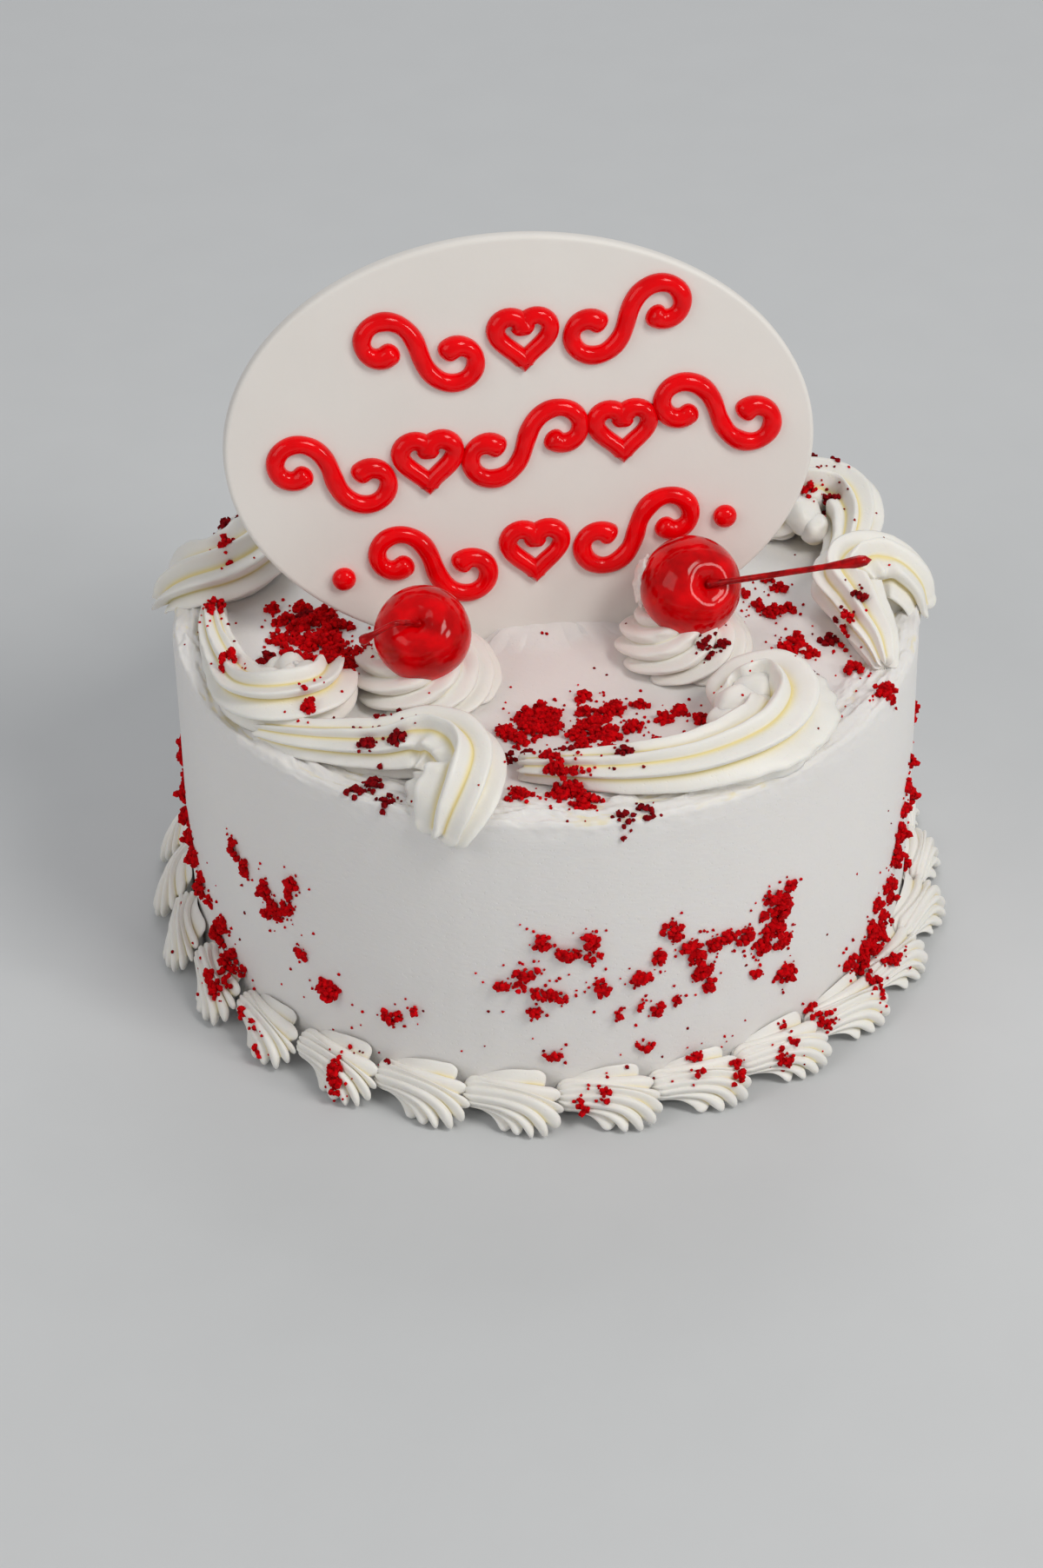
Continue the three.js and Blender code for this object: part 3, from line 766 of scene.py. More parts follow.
# ---------------------------------------------------------------- piped commas
# Stations from the comma's head to its tail: (turn in degrees, radius, height above the top, half width,
# half height). A turn below 0 runs clockwise, towards the tail.
OUTWARD_STATIONS = (
    (-2.4, 101.4, -2.0, 11.0, 4.8),
    (-1.6, 98.6, 2.6, 12.4, 7.8),
    (-0.9, 94.0, 6.6, 12.8, 9.8),
    (-1.2, 88.8, 8.9, 12.6, 10.6),
    (-3.8, 84.0, 9.7, 11.8, 10.4),
    (-8.8, 81.6, 9.0, 10.6, 9.6),
    (-16.0, 84.5, 6.4, 8.6, 7.8),
    (-24.0, 88.0, 5.0, 7.4, 6.6),
    (-31.0, 92.0, 4.0, 6.0, 5.4),
    (-37.0, 95.0, 2.6, 4.0, 3.8),
)
INWARD_STATIONS = (
    (-2.4, 71.5, 6.4, 7.4, 6.0),
    (0.5, 74.0, 8.6, 11.0, 9.0),
    (2.6, 80.0, 9.4, 13.0, 10.5),
    (-0.6, 88.0, 9.0, 13.2, 10.5),
    (-8.0, 92.2, 8.0, 12.0, 9.5),
    (-19.0, 91.0, 6.6, 9.6, 8.2),
    (-30.0, 86.5, 5.4, 7.6, 6.8),
    (-40.0, 81.5, 4.2, 5.8, 5.4),
    (-48.0, 78.5, 2.8, 4.0, 4.0),
)
# The inward form again, with a slim tail that keeps close to the rim.
SLIM_STATIONS = INWARD_STATIONS[:4] + (
    (-8.0, 91.8, 7.2, 10.4, 8.4),
    (-19.0, 90.8, 5.4, 7.4, 6.4),
    (-30.0, 90.2, 4.4, 5.8, 5.2),
    (-40.0, 90.0, 3.4, 4.8, 4.4),
    (-48.0, 90.0, 2.6, 3.8, 3.6),
)
STATIONS = {
    CommaForm.OUTWARD: OUTWARD_STATIONS,
    CommaForm.INWARD: INWARD_STATIONS,
    CommaForm.SLIM: SLIM_STATIONS,
}
# The rounded ends of an inward head's inner ribs: (turn in degrees, radius, height above the top, radius
# of the end).
CURL_TIPS = (
    (-0.8, 78.4, 9.6, 5.6),
    (-5.2, 78.8, 9.0, 5.4),
    (-8.8, 80.2, 7.2, 4.2),
)


@dataclass(frozen=True)
class RopeFrame:
    """One cross-section of a rope: its middle, its directions and its size."""

    centre: Vector
    run: Vector
    side: Vector
    lift: Vector
    half_width: float
    half_height: float
    bend: float


@dataclass
class PipedComma:
    """A comma of cream piped through a star nozzle: a curled head and a long tail that thins out."""

    number: int
    head: float
    form: CommaForm
    size: float
    tail: float
    torn: float = 0.0
    ribs: int = 9
    groove_depth: float = 0.36
    twist: float = 0.9
    faces_per_rib: int = 12
    rings: int = 110
    head_cap: float = 0.08
    tail_cap: float = 0.05
    bend_share: float = 0.86
    dimple: float = 0.9
    smoothing: float = 0.055
    blunt_head: tuple[float, float] = (1.3, 1.2)
    torn_side: float = 0.8
    tip_turn: float = 62.0
    tip_stretch: tuple[float, float] = (1.3, 1.05)

    def __post_init__(self) -> None:
        """Works out the stations and the ribs' widths once."""
        rng = random.Random(40 + self.number)
        self.centres = []
        self.sizes = []
        for turn, radius, height, half_width, half_height in STATIONS[self.form]:
            angle = self.head + turn * (self.tail if turn < 0 else 1.0)
            self.centres.append(polar(radius, angle, CAKE_HEIGHT + height * self.size))
            self.sizes.append(Vector((half_width, half_height, 0)) * self.size)
        if self.form is not CommaForm.OUTWARD:
            wider, higher = self.blunt_head
            self.sizes[0] = Vector((self.sizes[0].x * wider, self.sizes[0].y * higher, 0))
        self.frames: dict[float, RopeFrame] = {}
        widths = [rng.uniform(0.75, 1.3) for _ in range(self.ribs)]
        self.edges = [sum(widths[:i]) / sum(widths) for i in range(self.ribs + 1)]

    def frame_at(self, t: float) -> RopeFrame:
        """The cross-section at t, from 0 at the head to 1 at the tail.

        Args:
            t: The place along the rope.

        Returns:
            The cross-section there.
        """
        key = round(t, 5)
        if key not in self.frames:
            step = self.smoothing
            here = along_path(self.centres, t)
            ahead = along_path(self.centres, min(1.0, t + step))
            behind = along_path(self.centres, max(0.0, t - step))
            run = (ahead - behind).normalized()
            side = run.cross(UP).normalized()
            before = (here - behind) if t > step else (ahead - here)
            after = (ahead - here) if t < 1 - step else (here - behind)
            before.z = after.z = 0
            turned = before.normalized().cross(after.normalized()).z
            size = along_path(self.sizes, t)
            span = max(1e-6, (ahead - behind).length / 2)
            self.frames[key] = RopeFrame(
                here, run, side, side.cross(run), size.x, size.y, turned / span
            )
        return self.frames[key]

    def place(self, u: float, v: float) -> Placed:
        """The place and the groove depth of a point: u round the rope from below, v from head to tail.

        Args:
            u: The place round the rope, from 0 to 1.
            v: The place along it, from 0 to 1.

        Returns:
            The place, in millimetres, and the depth in a groove.
        """
        body = 1 - self.head_cap - self.tail_cap
        t = min(1.0, max(0.0, (v - self.head_cap) / body))
        into_head = max(0.0, 1 - v / self.head_cap) * math.pi / 2
        into_tail = max(0.0, (v - 1 + self.tail_cap) / self.tail_cap) * math.pi / 2
        closing = math.cos(into_head) * math.cos(into_tail)
        section = self.frame_at(t)
        index = int(u * self.ribs) % self.ribs
        fraction = u * self.ribs - int(u * self.ribs)
        turns = lerp(self.edges[index], self.edges[index + 1], fraction)
        crest = rib_crest(fraction, 1.25, 1.9)
        seed = self.number
        strength = 1 + 0.25 * noise.noise(Vector((index * 5.1, t * 2.6, seed)))
        shallow = 0.0 if self.form is CommaForm.OUTWARD else 0.4 * math.sin(into_head)
        depth = self.groove_depth * (0.85 + 0.45 * (1 - t) ** 2) * strength * (1 - shallow)
        share = 1 - depth * (1 - crest)
        share *= 1 + 0.06 * noise.noise(Vector((index * 3.7, t * 5.0, seed + 9)))
        share += self.tear(turns, t) * crest
        angle = 2 * math.pi * turns - math.pi / 2 + self.twist * (t - 0.35)
        across = math.cos(angle)
        width, height = section.half_width, section.half_height
        dimple = 0.0
        if across * section.bend < 0:
            room = self.bend_share / max(1e-6, abs(section.bend))
            squeeze = room / (room**4 + width**4) ** 0.25
            width *= squeeze
            height *= lerp(1.0, squeeze, across**2)
            dimple = self.dimple * (1 - squeeze) * smoothstep(0.0, 0.9, abs(across)) * section.half_height
        if self.form is CommaForm.OUTWARD:
            head_lobe = 0.65 * math.sin(into_head) + 0.5 * crest * math.sin(2 * into_head)
        else:
            head_lobe = 1.15 * math.sin(into_head) + 0.16 * crest * math.sin(2 * into_head)
        tail_lobe = 0.4 * math.sin(into_tail) + 0.8 * crest * math.sin(2 * into_tail)
        reach = 0.6 * min(section.half_width, section.half_height)
        point = (
            section.centre
            + section.side * across * width * share * closing
            + section.lift * (math.sin(angle) * height * share * closing - dimple)
            - section.run * reach * (head_lobe - tail_lobe)
        )
        ripple = 0.3 * wander(point, 6.0, seed) + 0.12 * wander(point, 1.7, seed + 2)
        outward = point - section.centre
        if outward.length > 1e-6:
            point = point + outward.normalized() * ripple * crest * closing
        # The groove depth, which the cream's finish turns into painted shade.
        return point, (1 - crest) * closing

    def tear(self, turns: float, t: float) -> float:
        """How far a torn rib flares out of the rope.

        Args:
            turns: The place round the rope, in turns from below.
            t: The place along the rope.

        Returns:
            The flare as a share of the rope's size.
        """
        if not self.torn:
            return 0.0
        beside = smoothstep(0.14, 0.05, abs(turns - self.torn_side))
        near = beside * smoothstep(0.2, 0.3, t) * smoothstep(0.62, 0.45, t)
        frayed = 0.6 + 0.7 * noise.noise(Vector((t * 34.0, turns * 3.0, self.number)))
        return self.torn * near * frayed

    def add_curl_tips(self, bm: bmesh.types.BMesh) -> None:
        """Fills the inside of an inward head's curl with the rounded ends of its inner ribs.

        Args:
            bm: The comma's mesh, which takes the ends.
        """
        groove = bm.verts.layers.float[GROOVE_SHADE]
        longer, taller = self.tip_stretch
        for index, (turn, radius, height, size) in enumerate(CURL_TIPS):
            middle = polar(radius, self.head + turn, CAKE_HEIGHT + height * self.size)
            along = polar(1.0, self.head + turn + self.tip_turn, 0.0)
            across = UP.cross(along)
            ball = bmesh.ops.create_icosphere(bm, subdivisions=4, radius=1.0)
            for vert in ball["verts"]:
                direction = vert.co.copy()
                swell = 1 + 0.16 * noise.noise(direction * 1.3 + Vector((index, self.number, 2.0)))
                reach = direction * size * self.size * swell
                # Painted shade on the underside of each rounded end.
                vert[groove] = 0.9 * smoothstep(0.1, -0.6, direction.z)
                vert.co = middle + along * reach.x * longer + across * reach.y + UP * reach.z * taller

    def build(self, material: bpy.types.Material) -> bpy.types.Object:
        """Pipes the comma and dresses it.

        Args:
            material: The piped cream.

        Returns:
            The finished piece.
        """
        bm = shaped_grid(self.ribs * self.faces_per_rib, self.rings, self.place)
        if self.form is not CommaForm.OUTWARD:
            self.add_curl_tips(bm)
        name = f"piped_comma_{self.number}"
        return finished(bm, name, material, [f"comma_{self.number}"])


# Each comma's head angle, form, size and length of tail against its form's stations, and how torn it is.
COMMAS = (
    (-104.0, CommaForm.OUTWARD, 1.0, 1.0, 0.0),
    (-46.0, CommaForm.INWARD, 1.0, 1.0, 0.22),
    (3.0, CommaForm.OUTWARD, 1.0, 0.62, 0.0),
    (30.0, CommaForm.INWARD, 0.95, 0.5, 0.0),
    (76.0, CommaForm.OUTWARD, 1.0, 0.95, 0.0),
    (123.0, CommaForm.INWARD, 0.97, 0.86, 0.15),
    (174.0, CommaForm.OUTWARD, 1.0, 1.1, 0.1),
    (217.0, CommaForm.SLIM, 0.9, 0.78, 0.0),
)


# ---------------------------------------------------------------- piped shells
@dataclass
class ShellBorder:
    """The ring of shells round the foot: each a fan of ribs that springs from a small round root."""

    count: int = 26
    first_angle: float = -94.5
    mid_radius: float = 106.0
    root: Vector = field(default_factory=lambda: Vector((-13.6, 1.8, 7.3)))
    root_radius: float = 4.5
    root_spread: tuple[float, float] = (-60.0, 135.0)
    root_cap: float = 3.6
    core: Vector = field(default_factory=lambda: Vector((2.0, 3.0, 4.0)))
    fan: tuple[tuple[float, float, float], ...] = (
        (-5.0, 10.4, 0.4),
        (0.6, 12.7, 0.4),
        (5.4, 12.8, 0.5),
        (9.8, 11.6, 1.4),
        (12.5, 8.0, 4.8),
        (12.3, 4.6, 9.6),
        (8.0, 0.4, 13.8),
    )
    bulge: tuple[float, ...] = (1.6, 2.4, 3.0, 3.4, 3.6, 3.4, 2.8)
    ribs: int = 8
    groove_depth: float = 0.26
    faces_per_rib: int = 9
    hidden_faces: int = 7
    cap_rows: int = 4
    body_rows: int = 22
    tip_rows: int = 7
    tip_start: float = 0.86
    foot_tuck: Vector = field(default_factory=lambda: Vector((-22.0, -24.0, 0.0)))
    wall_tuck: Vector = field(default_factory=lambda: Vector((-28.0, -14.0, 10.0)))
    wall_gap: float = 0.7

    def grid(self) -> tuple[int, int]:
        """The faces round one shell, and its rows from the root to the tips."""
        rows = self.cap_rows + self.body_rows + self.tip_rows + 1
        return self.ribs * self.faces_per_rib + self.hidden_faces, rows

    def crest_line(self, across: float, t: float) -> Vector:
        """A place on the shell's outer form.

        Args:
            across: The place across the fan, from just below 0 at its foot to just above 1 by the wall.
            t: The place from the root, at 0, to the tips, at 1.

        Returns:
            The place, along the wall, out from it and up.
        """
        share = min(1.0, max(0.0, across))
        end = along_path([Vector(p) for p in self.fan], share)
        bulge = along_path([Vector((b, 0, 0)) for b in self.bulge], share).x
        end += self.foot_tuck * max(0.0, -across)
        end += self.wall_tuck * max(0.0, across - 1)
        arch = bulge * 4 * t * (1 - t)
        turn = math.radians(lerp(*self.root_spread, share))
        start = self.root + Vector((0.0, math.cos(turn), math.sin(turn))) * self.root_radius
        swell = 1 - (1 - t) ** 2.2
        droop = smoothstep(9.0, 2.0, end.z)
        climb = swell if end.z > start.z else t ** (2 + 0.8 * droop)
        return Vector(
            (
                lerp(start.x, end.x, lerp(t, 1 - (1 - t) ** 1.5, droop)),
                lerp(start.y, end.y, lerp(swell, t**1.25, droop)) + 0.3 * arch,
                lerp(start.z, end.z, climb) + 0.5 * arch,
            )
        )

    def beside_wall(self, angle: float, p: Vector) -> Vector:
        """A place given along, out from and up the wall, in the cake's own frame."""
        wall = CAKE_RADIUS - FOOT_TAPER + self.wall_gap
        return polar(wall + p.y, angle + math.degrees(p.x / self.mid_radius), max(0.0, p.z))

    def placer(self, index: int) -> Placer:
        """The function that shapes one shell's grid.

        Args:
            index: The shell's number round the cake.

        Returns:
            A function from the grid to the shell's skin.
        """
        rng = random.Random(100 + index)
        angle = self.first_angle + index * 360 / self.count
        nudge = 1 + 0.045 * math.sin(index * 2.4)
        if nudge > 1:
            nudge = 1.0 + 0.2 * (nudge - 1.0)
        stretch = rng.uniform(-0.6, 0.6)
        ribs = self.ribs
        faces, rows = self.grid()
        weights = [rng.uniform(0.75, 1.2) for _ in range(ribs)]
        tips = [rng.uniform(0.8, 1.0) for _ in range(ribs)]
        widths = [rng.uniform(0.8, 1.25) for _ in range(ribs)]
        edges = [sum(widths[:i]) / sum(widths) for i in range(ribs + 1)]

        def front(column: float, row: float) -> Placed:
            """A point of the ribbed front of the shell.

            Args:
                column: The place across the ribs, where each rib is 1 wide.
                row: The row, from the root to the tips.

            Returns:
                The place beside the wall, and the depth in a groove.
            """
            rib = min(ribs - 1, int(column))
            fraction = column - rib
            crest = rib_crest(fraction, 2.3, 1.25)
            across = lerp(edges[rib], edges[rib + 1], fraction) * 1.16 - 0.08
            past_cap = row - self.cap_rows
            body = min(1.0, max(0.0, past_cap / self.body_rows))
            theta = min(1.0, max(0.0, (past_cap - self.body_rows) / self.tip_rows)) * math.pi / 2
            tip = (1 - self.tip_start) * math.sin(theta) * (0.35 + 0.65 * math.sqrt(crest))
            t = body * self.tip_start + tip * tips[rib]
            curl = 1 - math.cos(theta)
            inward = self.groove_depth * weights[rib] * (0.3 + 0.7 * t) * (1 - crest)
            inward += curl * (0.4 - 0.22 * crest)
            point = self.crest_line(across, t).lerp(self.core, min(1.0, inward))
            point.z -= 0.8 * curl * crest * smoothstep(9.0, 2.0, point.z)
            opening = min(1.0, row / self.cap_rows) * math.pi / 2
            cap = Vector((self.root_cap * math.cos(opening), 0.0, 0.0))
            point = self.root.lerp(point, math.sin(opening)) - cap
            # Groove depth for the painted shade, stronger towards the tips.
            return point, math.sqrt(1 - crest) * min(1.0, 0.35 + t)

        def place(u: float, v: float) -> Placed:
            """A point of the whole skin, with the plain side that lies on the wall and the floor.

            Args:
                u: The place round the shell, from 0 to 1.
                v: The place from its root to its tips, from 0 to 1.

            Returns:
                The place in the cake's frame, and the depth in a groove.
            """
            column, row = u * faces / self.faces_per_rib, v * rows
            if row > rows - 0.5:
                point, groove = self.core.copy(), 0.0
            elif row < 0.5:
                point, groove = self.root - Vector((self.root_cap, 0.0, 0.0)), 0.0
            elif column <= ribs:
                point, groove = front(column, row)
            else:
                top, _ = front(ribs, row)
                foot, _ = front(0, row)
                corner = Vector(((top.x + foot.x) / 2, 0.0, 0.0))
                share = (column - ribs) * self.faces_per_rib / self.hidden_faces
                if share < 0.5:
                    point, groove = top.lerp(corner, 2 * share), 0.0
                else:
                    point, groove = corner.lerp(foot, 2 * share - 1), 0.0
            point = Vector((point.x + stretch * v, point.y * nudge, point.z * nudge))
            placed = self.beside_wall(angle, point)
            rough = 0.16 * wander(placed, 4.0, index) + 0.07 * wander(placed, 1.4, index + 3)
            centre = self.beside_wall(angle, self.core)
            away = placed - centre
            if placed.z > 0.3 and away.length > 1:
                placed = placed - away.normalized() * (0.15 + rough)
            return placed, groove

        return place

    def build(self, material: bpy.types.Material) -> list[bpy.types.Object]:
        """Pipes every shell and dresses it.

        Args:
            material: The piped cream.

        Returns:
            The finished pieces.
        """
        faces, rows = self.grid()
        pieces = []
        for index in range(self.count):
            bm = shaped_grid(faces, rows, self.placer(index))
            name = f"piped_shell_{index + 1}"
            pieces.append(finished(bm, name, material, [f"shell_{index + 1}"]))
        return pieces


# ---------------------------------------------------------------- swirls and cherries
@dataclass
class CreamSwirl:
    """The low swirl of cream under a cherry: broad ribbons that wind round as they climb."""

    side: str
    centre: Vector
    radius: float
    height: float
    seed: int
    ribs: int = 8
    twist: float = 150.0
    tilt: float = 3.0
    groove_depth: float = 0.24
    faces_per_rib: int = 12
    rows: int = 40
    levels: tuple[tuple[float, float], ...] = (
        (0.0, 0.93),
        (0.16, 1.0),
        (0.38, 0.93),
        (0.6, 0.78),
        (0.8, 0.58),
        (1.0, 0.34),
    )

    def reach(self, share: float) -> float:
        """The swirl's radius at a share of its height, against its widest.

        Args:
            share: The share of the height, from 0 to 1.

        Returns:
            The radius as a share of the widest.
        """
        for (low, wide), (high, slim) in zip(self.levels, self.levels[1:]):
            if share <= high:
                eased = 0.4 * smoothstep(low, high, share)
                straight = 0.6 * (share - low) / (high - low)
                return lerp(wide, slim, eased + straight)
        return self.levels[-1][1]

    def place(self, u: float, v: float) -> Placed:
        """The place and groove depth of a point: u round the swirl, v from under it to its top.

        Args:
            u: The place round the swirl, from 0 to 1.
            v: The place from under it to its top, from 0 to 1.

        Returns:
            The place, in millimetres, and the depth in a groove.
        """
        start, stop = 0.06, 0.93
        share = min(1.0, max(0.0, (v - start) / (stop - start)))
        closing = min(1.0, v / start) * min(1.0, (1 - v) / (1 - stop))
        rib = u * self.ribs
        index = int(rib) % self.ribs
        crest = rib_crest(rib - int(rib), 1.7, 0.72)
        weight = 1 + 0.22 * noise.noise(Vector((index * 4.3, share * 1.5, self.seed)))
        depth = self.groove_depth * weight
        angle = 2 * math.pi * u + math.radians(self.twist) * share
        r = self.radius * self.reach(share) * (1 - depth * (1 - crest)) * closing
        r *= 1 + 0.04 * noise.noise(Vector((index * 2.9, share * 4.0, self.seed + 5)))
        back = math.sin(angle) * self.reach(share) * self.tilt * share
        point = self.centre + Vector((r * math.cos(angle), r * math.sin(angle), share * self.height + back))
        point += Vector((0.0, 0.0, 0.5 * crest * smoothstep(0.0, 0.3, share)))
        outward = Vector((math.cos(angle), math.sin(angle), 0.2))
        point += outward * 0.3 * wander(point, 4.5, self.seed) * crest * closing
        # The groove depth, which the cream's finish turns into painted shade.
        return point, 0.9 * (1 - crest) * closing

    def build(self, material: bpy.types.Material) -> bpy.types.Object:
        """Pipes the swirl and dresses it."""
        bm = shaped_grid(self.ribs * self.faces_per_rib, self.rows, self.place)
        return finished(bm, f"piped_swirl_{self.side}", material, [f"swirl_{self.side}"])


@dataclass
class GlazedCherry:
    """A candied cherry: a ball flattened at its poles and drawn in round its stem, and the stem."""

    side: str
    centre: Vector
    radius: float
    dimple: Vector
    stem_reach: Vector
    stem_rise: float
    stem_radius: float
    seed: int
    knob: float = 1.9
    stem_rows: int = 48
    stem_faces: int = 14

    def skin(self, direction: Vector, turn: Quaternion) -> Vector:
        """The place of the cherry's skin in a direction.

        Args:
            direction: The direction from its middle, with its dimple towards +Z.
            turn: The turn that takes +Z to its dimple.

        Returns:
            The place on the skin.
        """
        from_pole = direction.angle(UP, 0.0)
        dip = 0.3 * math.exp(-((from_pole / 0.34) ** 2))
        dip += 0.08 * math.exp(-(((math.pi - from_pole) / 0.4) ** 2))
        lobes = 0.012 * noise.noise(direction * 1.3 + Vector((self.seed, 0, 0)))
        turned = math.atan2(direction.y, direction.x)
        pucker = 0.008 * math.sin(5 * turned + self.seed) * math.exp(-(((from_pole - 0.3) / 0.15) ** 2))
        size = self.radius * (1 + 0.035 * math.sin(from_pole) ** 2 - dip + lobes + pucker)
        point = direction * size
        point.z *= 0.95
        return self.centre + turn @ point

    def build_fruit(self, material: bpy.types.Material) -> bpy.types.Object:
        """Shapes the cherry and dresses it.

        Args:
            material: The glazed skin.

        Returns:
            The finished piece.
        """
        turn = UP.rotation_difference(self.dimple)
        bm = bmesh.new()
        bmesh.ops.create_uvsphere(bm, u_segments=80, v_segments=56, radius=1.0)
        for vert in bm.verts:
            vert.co = self.skin(vert.co.normalized(), turn)
        return finished(bm, f"glazed_cherry_{self.side}", material, [f"cherry_{self.side}"])

    def stem_path(self) -> list[Vector]:
        """The points that the stem passes through, from inside the dimple to its end.

        Returns:
            The points in order.
        """
        out = self.dimple.normalized()
        start = self.centre + out * self.radius * 0.66
        end = self.centre + out * self.radius * 0.72 + self.stem_reach
        middle = start.lerp(end, 0.42) + out * self.stem_rise
        return [start, start.lerp(middle, 0.5) + out * self.stem_rise * 0.25, middle, end]

    def build_stem(self, material: bpy.types.Material) -> bpy.types.Object:
        """Draws the stem out from the dimple to the knob where it was picked.

        Args:
            material: The glazed stalk.

        Returns:
            The finished piece.
        """
        path = self.stem_path()

        def place(u: float, v: float) -> Placed:
            """A point of the stem's skin.

            Args:
                u: The place round the stem, from 0 to 1.
                v: The place from the dimple to the knob, from 0 to 1.

            Returns:
                The place, in millimetres, and 0 for no groove.
            """
            here = along_path(path, v)
            run = (along_path(path, min(1, v + 0.02)) - along_path(path, max(0, v - 0.02))).normalized()
            side = run.cross(UP).normalized()
            lift = side.cross(run)
            swell = 1 + 0.5 * smoothstep(0.12, 0.0, v) + (self.knob - 1) * smoothstep(0.84, 0.95, v)
            bumps = wander(here + side * math.cos(6.28 * u), 1.1, self.seed)
            ragged = 1 + 0.12 * bumps * (0.3 + smoothstep(0.8, 0.95, v))
            end = math.sqrt(max(0.0, 1 - max(0.0, (v - 0.95) / 0.05) ** 2)) * min(1.0, v / 0.02)
            thick = self.stem_radius * swell * ragged * end
            angle = 2 * math.pi * u
            return here + (side * math.cos(angle) + lift * math.sin(angle)) * thick, 0.0

        bm = shaped_grid(self.stem_faces, self.stem_rows, place)
        return finished(bm, f"cherry_stalk_{self.side}", material, [f"stem_{self.side}"])


@dataclass
class CreamDab:
    """A smear of cream that a cherry dragged up its side as it was pressed into its swirl."""

    name: str
    centre: Vector
    radii: Vector
    lean: float
    raggedness: float = 0.28

    def build(self, material: bpy.types.Material) -> bpy.types.Object:
        """Shapes the smear and dresses it.

        Args:
            material: The piped cream.

        Returns:
            The finished piece.
        """
        bm = bmesh.new()
        groove = bm.verts.layers.float.new(GROOVE_SHADE)
        bmesh.ops.create_icosphere(bm, subdivisions=5, radius=1.0)
        tilt = Matrix.Rotation(math.radians(self.lean), 3, "Y")
        for vert in bm.verts:
            direction = vert.co.normalized()
            coarse = noise.noise(direction * 2.1 + Vector((3.0, 1.0, 7.0)))
            fine = noise.noise(direction * 6.5 + Vector((1.0, 8.0, 2.0)))
            swell = 1 + self.raggedness * coarse + 0.4 * self.raggedness * fine
            # Painted shade in the dents of the smear.
            vert[groove] = 0.6 * smoothstep(0.1, -0.4, coarse)
            vert.co = self.centre + tilt @ (direction * self.radii * swell)
        return finished(bm, self.name, material)


# ---------------------------------------------------------------- the plaque and its gel
@dataclass
class SugarPlaque:
    """The oval plaque of rolled sugar paste, which stands in the top and leans back a little."""

    half_width: float = 78.7
    half_height: float = 58.4
    thickness: float = 4.6
    bevel: float = 1.1
    centre: Vector = field(default_factory=lambda: Vector((-5.8, -3.4, 147.0)))
    turn: float = 8.0
    lean: float = 9.0
    roll: float = -4.7
    segments: int = 180

    def stand(self) -> Matrix:
        """The turn and shift that stand the plaque up, from flat with its face towards +Z.

        Returns:
            The matrix, in millimetres.
        """
        turned = Matrix.Rotation(math.radians(self.turn), 4, "Z")
        upright = Matrix.Rotation(math.radians(90 - self.lean), 4, "X")
        return Matrix.Translation(self.centre) @ turned @ upright

    def build(self, material: bpy.types.Material) -> bpy.types.Object:
        """Cuts the oval, rounds its edges, and stands it up.

        Args:
            material: The sugar paste.

        Returns:
            The finished piece.
        """
        bm = bmesh.new()
        bm.verts.layers.float.new(GROOVE_SHADE)
        rim = bmesh.ops.create_circle(bm, cap_ends=True, segments=self.segments, radius=1.0)["verts"]
        bmesh.ops.scale(bm, vec=(self.half_width, self.half_height, 1.0), verts=rim)
        walls = bmesh.ops.extrude_face_region(bm, geom=bm.faces[:])
        raised = [item for item in walls["geom"] if isinstance(item, bmesh.types.BMVert)]
        bmesh.ops.translate(bm, vec=(0.0, 0.0, self.thickness), verts=raised)
        bmesh.ops.recalc_face_normals(bm, faces=bm.faces)
        sharp = [edge for edge in bm.edges if edge.calc_face_angle(0.0) > 1.0]
        bmesh.ops.bevel(
            bm,
            geom=sharp,
            offset=self.bevel,
            offset_type="OFFSET",
            affect="EDGES",
            segments=4,
            profile=0.5,
            material=-1,
        )
        faces = [face for face in bm.faces if len(face.verts) > 4]
        bmesh.ops.inset_region(bm, faces=faces, thickness=0.4, use_even_offset=True)
        bmesh.ops.translate(bm, vec=(0.0, 0.0, -self.thickness), verts=bm.verts)
        bmesh.ops.rotate(bm, matrix=Matrix.Rotation(math.radians(self.roll), 3, "Z"), verts=bm.verts)
        bmesh.ops.transform(bm, matrix=self.stand(), verts=bm.verts)
        return finished(bm, "sugar_plaque", material, ["plaque"])


